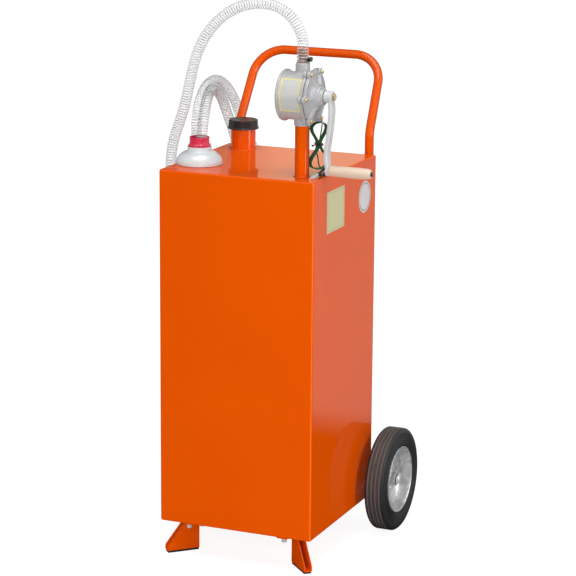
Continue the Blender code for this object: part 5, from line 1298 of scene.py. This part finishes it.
# %% Tyres, rims and nuts
def tyre_profile():
    """Half the tyre's section from bead to tread, mirrored to the other side."""
    front = mm("82 20.5, 85 21.6")
    for low, out in mm("88 22.2, 93 22.9, 98 23.4, 103 23.9, 108 24.3"):
        front += [
            (low - 0.0010, out - 0.0003), (low, out + 0.0008), (low + 0.0014, out + 0.0008),
            (low + 0.0024, out - 0.0001),
        ]
    front += mm("113 24.9, 117 25, 120.5 24.6, 123.5 23.4, 126 21.3, 127.4 19.3, 127.8 18")
    for middle in (0.0150, 0.0050):
        front += [(radius, middle + off) for radius, off in mm(
            "128 2.2, 126.8 1.5, 125.4 1, 125.4 -1, 126.8 -1.5, 128 -2.2")]
    return front + [(radius, -out) for radius, out in reversed(front)]


RIM_PROFILE = softened(mm("""
    81.7 21.2, 82.2 22.2, 82.6 23.6, 82 24.7, 80.8 24.8, 79.6 24, 78.9 22.4, 78.6 12, 78 1, 76.8 -4, 74.2 -7.2,
    70 -8.8, 56 -9.2, 50 -8.6, 47 -5.8, 44 -4.4, 31 -4.2, 26.2 -3.6, 23 -1.6, 20.6 0.6, 18 2.2, 16.6 5, 16.5 14.2,
    15.8 15, 12 15, 12 -29, 15.8 -29, 16.5 -28.2, 16.5 -3, 22.5 -4.2, 30 -6.4, 44 -6.8, 49 -11, 56 -11.6, 70 -11.2,
    76 -9.2, 78.6 -12, 78.8 -21.2, 80.6 -23.8, 82.2 -24, 82.4 -22.2, 81.7 -20.5"""), 0.0010, 2, True)
NUT_PROFILE = softened(mm("8.3 16.2, 11.5 16.2, 11.5 21.2, 10 22.7, 8.3 22.9"), 0.0006, ring=True)
for side, word in SIDES:
    aim = moved(side * WHEEL_X, AXLE_Y, AXLE_HEIGHT, Matrix.Rotation(side * pi / 2, 4, "Y"))
    body = "wheel_" + word
    tyre = turned(tyre_profile(), 144)
    piece("solid_tyre_" + word, tyre, aim, TYRE, "rubber", "tyre_" + word, body=body, sharp=42)
    rim = turned(RIM_PROFILE, 144)
    piece("pressed_rim_" + word, rim, aim, RIM_SILVER, "silver", "rim_" + word, body=body, sharp=60)
    piece("round_nut_" + word, turned(NUT_PROFILE, 48), aim, NICKEL, "chromed", "axle_nut_" + word, body=body)

# %% Axle
axle = turned(softened(mm("0 -266.6, 6.6 -266.6, 8 -265, 8 265, 6.6 266.6, 0 266.6"), 0.0008), 48)
piece("axle_rod", axle, moved(0, AXLE_Y, AXLE_HEIGHT, ALONG_X), NICKEL, "chromed", "axle")

# %% [markdown]
# ## Brackets and feet
# The brackets that carry the axle are a plate, a web and a tube, welded. The feet are folded sheet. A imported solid's
# mesh is loose triangles, so for the folded parts a copy is merged, its flat faces are joined again, and a bevel
# breaks the edges.

# %% Axle brackets
BRACKET_X, WEB_START = 0.1770, 0.2005
BACKING_THICK, WEB_HALF, WEB_DEEP = 0.004, 0.002, 0.025
for side, word in SIDES:
    middle = side * BRACKET_X
    backing = plate(mm("-30 -30, 30 -30, 30 30, -30 30"), 0, BACKING_THICK)
    for corner in backing.verts:
        corner.co = corner.co.xzy
    backing.transform(Matrix.Translation((middle, HALF_DEPTH + SEAT, AXLE_HEIGHT)))
    web_long = AXLE_Y - WEB_START
    web = plate([(-WEB_HALF, 0), (WEB_HALF, 0), (WEB_HALF, web_long), (-WEB_HALF, web_long)], -WEB_DEEP, 0)
    web.transform(Matrix.Translation((middle, WEB_START, AXLE_HEIGHT)))
    sleeve = turned(softened(mm("8.3 -36, 12.4 -36, 12.4 36, 8.3 36"), 0.0006, 3, True), 64)
    sleeve.transform(Matrix.Translation((middle, AXLE_Y, AXLE_HEIGHT)) @ ALONG_X)
    piece("bracket_" + word, joined(backing, web, sleeve), FROM_MIDDLE, PAINT, "paint", "axle_bracket_" + word,
          sharp=35, bevel=0.0007)


# %% Folded feet, pads, tie and clip
def rebuilt(node, look, slot, bevel, body="caddy"):
    """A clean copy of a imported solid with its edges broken."""
    shape = bmesh.new()
    shape.from_mesh(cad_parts[node].data)
    shape.transform(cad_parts[node].matrix_world)
    bmesh.ops.remove_doubles(shape, verts=shape.verts[:], dist=0.00002)
    bmesh.ops.dissolve_limit(shape, angle_limit=radians(2), verts=shape.verts[:], edges=shape.edges[:])
    return piece("folded_" + node, shape, Matrix.Identity(4), look, slot, node, body=body, sharp=30, bevel=bevel)


for _, word in SIDES:
    rebuilt("foot_" + word, PAINT, "paint", 0.0009)
    rebuilt("foot_pad_" + word, PAD_RUBBER, "rubber", 0.0008)
tie = rebuilt("hank_tie", CAP_PLASTIC, "black_plastic", 0.0004)
TIE_OUT = 0.0035                                    # the tie's tail starts this far from the hank's middle
tail_way = Vector((-0.88, -0.38, -0.28)).normalized()
tail_turn = tail_way.to_track_quat("Z", "Y").to_matrix().to_4x4()
tail_shape = turned(softened(mm("0 0, 1 0, 1.2 9, 2.4 10.4, 2.2 13.6, 0 14.2"), 0.0003), 16)
tie_tail = piece(
    "tie_tail", tail_shape, Matrix.Translation(HANK - PLAN + tail_way * TIE_OUT) @ tail_turn, CAP_PLASTIC,
    "black_plastic")
rebuilt("clip_jaw_lower", CLIP, "steel", 0.0002)
rebuilt("clip_jaw_upper", CLIP, "steel", 0.0002, "clip_jaw")

# %% Ring terminal of the earth wire, and the wire's facts
ring = turned(mm("5 0, 6.4 0, 6.4 0.8, 5 0.8"), 40)
ring.transform(Matrix.Translation((COVER_FACE + SEAT, first.y, first.z + WIRE_FALL)) @ ALONG_X)
ferrule = turned(softened(mm("1.5 -7, 2.2 -7, 2.2 0.4, 1.5 0.4"), 0.0002, 2, True), 28)
ferrule.transform(Matrix.Translation(first))
terminal = piece("ring_terminal", joined(ring, ferrule), FROM_MIDDLE, ZINC, "steel")
path_length(wire_path)

# %% [markdown]
# ## Blank labels
# The photograph shows a plate on the pump and two stickers on the right wall. Nothing is printed on these: they are a
# plain panel with a border, as such stickers are before they are printed, and a plain disc with a ring.


# %% Label finishes
def label(name, base, roughness, pale, dim, centre, line, edge):
    """A plain sheet with a coloured line. A function says where the line runs, by places counted from the centre."""
    look = Finish(name, base, roughness, Coat_Weight=0.25)
    share = line(look, *look.parts(look.centred(centre)))
    look.set("Base Color", look.mix(share, look.mix(look.noise(60.0, 3.0), pale, dim), edge))
    look.set("Roughness", 0.30 + 0.12 * look.noise(140.0, 2.0))
    look.bump(look.noise(90.0, 2.0), 0.0002, 0.3)
    return look.material


# %% Labels on the right wall
THIN = 0.00018
BORDER, DISC_RING = (0.0042, 0.0052), (0.0315, 0.0350)      # from the edge, and from the middle
WALL_LABEL, WALL_HALF = Vector((HALF_WIDTH + 0.00005, -0.0625, 0.858)), (0.0535, 0.0490)
WALL_DISC, DISC_RADIUS = Vector((HALF_WIDTH + 0.00005, 0.1215, 0.855)), 0.0385


def wall_line(look, x, y, z):
    least = look.math("MINIMUM", WALL_HALF[0] - abs(y), WALL_HALF[1] - abs(z))
    return (least > BORDER[0]) * (least < BORDER[1])


def disc_line(look, x, y, z):
    radius = from_axis(y, z)
    return (radius > DISC_RING[0]) * (radius < DISC_RING[1])


cream = tint(206, 200, 150)
panel = plate(rounded_outline(*WALL_HALF, 0.0030), 0, THIN)
panel.transform(Matrix.Translation(WALL_LABEL) @ ALONG_X @ Matrix.Rotation(pi / 2, 4, "Z"))
piece("wall_label", panel, FROM_MIDDLE, label(
    "wall_label", cream, 0.36, cream, tuple(part * 0.94 for part in cream[:3]) + (1.0,), WALL_LABEL - PLAN,
    wall_line, tint(150, 142, 104)), "fibre")
disc = turned([(0, 0), (DISC_RADIUS, 0), (DISC_RADIUS, THIN), (0, THIN)], 96)
disc.transform(Matrix.Translation(WALL_DISC) @ ALONG_X)
piece("wall_disc", disc, FROM_MIDDLE, label(
    "disc_label", tint(226, 222, 220), 0.36, tint(222, 218, 216), tint(206, 204, 203), WALL_DISC - PLAN,
    disc_line, tint(150, 140, 138)), "fibre")

# %% Plate on the drum
PLATE_LOW, PLATE_HIGH, PLATE_RADIUS = 0.1062, 0.1560, 0.0557
PLATE_FIRST, PLATE_LAST = radians(-33), radians(51)       # turns are counted up from the front
PLATE_BORDER = 0.0034


def drum_patch(thick=0.0002, steps=24):
    """A thin sheet bent round the drum."""
    loops = []
    for step in range(steps + 1):
        turn = PLATE_FIRST + (PLATE_LAST - PLATE_FIRST) * step / steps
        loops.append([
            (x, RISER.y - far * cos(turn), DRUM_HEIGHT + far * sin(turn))
            for far, x in (
                (PLATE_RADIUS, PLATE_LOW), (PLATE_RADIUS, PLATE_HIGH), (PLATE_RADIUS + thick, PLATE_HIGH),
                (PLATE_RADIUS + thick, PLATE_LOW))
        ])
    return loft(loops)


def drum_line(look, x, y, z):
    turn = look.math("ARCTAN2", z, 0 - y)
    across = (PLATE_HIGH - PLATE_LOW) / 2 - abs(x)
    up = (PLATE_LAST - PLATE_FIRST) / 2 * PLATE_RADIUS - abs((turn - (PLATE_FIRST + PLATE_LAST) / 2) * PLATE_RADIUS)
    return look.math("MINIMUM", across, up) < PLATE_BORDER


drum_middle = Vector(((PLATE_LOW + PLATE_HIGH) / 2, RISER.y, DRUM_HEIGHT)) - PLAN
piece("drum_plate", drum_patch(), FROM_MIDDLE, label(
    "drum_label", tint(196, 196, 192), 0.34, tint(200, 200, 196), tint(186, 186, 182), drum_middle, drum_line,
    tint(222, 212, 128)), "fibre", sharp=50)

# %% [markdown]
# ## Inner parts
# Rotor, shaft, vanes, seals, bushes, the clip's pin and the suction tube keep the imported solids' shapes. They get the
# same finishes.

# %% Finishes of the inner parts
inner_looks = {
    "suction_tube": ZINC, "pump_rotor": ROTOR_STEEL, "pump_shaft": ZINC, "clip_pin": ZINC, "cap_gasket": PAD_RUBBER,
    "shaft_seal": PAD_RUBBER, "hub_bush_left": BUSH_NYLON, "hub_bush_right": BUSH_NYLON, "vane_1": FIBRE,
    "vane_2": FIBRE,
}
for node, look in inner_looks.items():
    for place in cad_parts[node].material_slots:
        place.material = look

# %% [markdown]
# ## Floor and light
# The caddy stands on a pale studio floor that runs on until it fills the view. The camera sees it near white, with
# the caddy's soft shadow. In glossy surfaces the floor close by is dark and the sweep behind it bright, which is what
# gives the enamel of the side wall its paler upper part.


# %% Studio floor
FLOOR_RADIUS, FLOOR_THICK = 60.0, 0.02
FLOOR_GREYS = (0.62, 0.26)                          # as other things are lit by it, and as the camera sees it
GLOW_STEP = (0.7, 2.2, 0.89, 1.0)                   # from and to these distances, from and to these levels
SWEEP_STEP = (0.76, 1.10, 0.0, 0.72)                # the same, for the sweep that glossy surfaces mirror


def studio_floor():
    material = bpy.data.materials.new("studio_floor")
    material.use_nodes = True
    tree = Tree(material.node_tree)
    material.node_tree.nodes.clear()
    spot = tree.node("ShaderNodeTexCoord", None, None, "Object")
    camera_ray, glossy_ray, clear_ray = tree.rays("Camera", "Glossy", "Transmission")
    matt, faint = [
        tree.node("ShaderNodeBsdfDiffuse", None, {"Color": (grey, grey, grey, 1.0)}) for grey in FLOOR_GREYS
    ]
    far_level = tree.ease(tree.vector("LENGTH", {0: spot}, "Value"), *GLOW_STEP)
    behind_level = tree.ease(tree.parts(spot)[1], *SWEEP_STEP)
    glow, mirror = [
        tree.node("ShaderNodeEmission", None, {"Color": (1, 1, 1, 1), "Strength": level})
        for level in (far_level, behind_level)
    ]
    seen = tree.node("ShaderNodeAddShader", None, {0: faint, 1: glow})
    shown = tree.blend(glossy_ray, tree.blend(camera_ray + clear_ray, matt, seen), mirror)
    tree.node("ShaderNodeOutputMaterial", None, {"Surface": shown})
    return material


ground = turned([(0, -FLOOR_THICK), (FLOOR_RADIUS, -FLOOR_THICK), (FLOOR_RADIUS, 0), (0, 0)], 64)
floor = loose("studio_floor", ground)
floor.data.materials.append(studio_floor())
floor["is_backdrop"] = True

# %% [markdown]
# Glossy surfaces mirror a room of bright and dark walls. The room is a row of grey and cream stops from left to
# right, laid so that the tank's top mirrors its bright edge. Everything else is lit by an even sky and four soft
# lamps.

# %% World and lamps
LOOKED_AT = Vector((0, -0.05, 0.75))
ROOM_STOPS = (                                      # place from left to right, level, share of blue; the ends first
    (0.0, 0.45, 1.0), (1.0, 0.60, 1.0), (0.30, 0.40, 1.0), (0.425, 0.05, 1.0), (0.4775, 0.06, 1.0),
    (0.4975, 0.98, 0.74), (0.51, 1.0, 0.74), (0.53, 0.78, 0.74), (0.65, 0.55, 1.0))
ROOM_X, ROOM_Y, ROOM_SHIFT = 0.46, 0.195, 0.5       # how a direction becomes a place in the room
SKY_LEVEL, SEEN_LEVEL, ROOM_LEVEL = 0.28, 1.0, 1.1
world = bpy.data.worlds.new("studio")
world.use_nodes = True
bpy.context.scene.world = world
sky = Tree(world.node_tree)
world.node_tree.nodes.clear()
camera_ray, glossy_ray, clear_ray = sky.rays("Camera", "Glossy", "Transmission")
way = sky.parts(sky.node("ShaderNodeTexCoord", None, None, "Generated"))
to_right = way[0] * ROOM_X + way[1] * ROOM_Y + ROOM_SHIFT
walls = sky.node("ShaderNodeValToRGB", {"stops": [
    (place, (level, level, level * blue, 1.0)) for place, level, blue in ROOM_STOPS
]}, {0: to_right})
plain, bright, room = [
    sky.node("ShaderNodeBackground", None, {"Color": colour, "Strength": strength})
    for colour, strength in (((1, 1, 1, 1), SKY_LEVEL), ((1, 1, 1, 1), SEEN_LEVEL), (walls, ROOM_LEVEL))
]
both = sky.blend(glossy_ray, sky.blend(camera_ray + clear_ray, plain, bright), room)
sky.node("ShaderNodeOutputWorld", None, {"Surface": both})


def lamp(name, azimuth, elevation, distance, width, height, power, shape="RECTANGLE"):
    """A soft lamp that looks at the middle of the caddy."""
    data = bpy.data.lights.new(name, "AREA")
    data.shape, data.size, data.size_y, data.energy = shape, width, height, power
    way = seen_from(radians(azimuth), radians(elevation))
    item = added(name, data)
    item.location = LOOKED_AT + way * distance
    item.rotation_euler = way.to_track_quat("Z", "Y").to_euler()
    return item


# azimuth and elevation in degrees, distance, width, height and power
lamp("front_panel", 17, 8, 4.4, 2.3, 2.5, 82).visible_glossy = False
lamp("front_mirror", 17, 8, 4.4, 2.3, 2.5, 36)
lamp("side_strip", 84, 12, 3.8, 1.0, 2.2, 42)
lamp("over_disk", 20, 76, 4.6, 3.2, 3.2, 136, "ELLIPSE")
bpy.context.scene.view_settings.view_transform = "Standard"

# %% [markdown]
# ## Size
# The sizes of the solids' box and of the dressed caddy's box are both printed. The dressed caddy
# has to stay inside the solids' box.

# %% Print the sizes of both boxes
dressed_box = [list(corner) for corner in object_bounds()]
for name, low, high in (("solid", *solid_box), ("dressed", *dressed_box)):
    print(name, ["%.1f mm" % (1000 * (b - a)) for a, b in zip(low, high)])
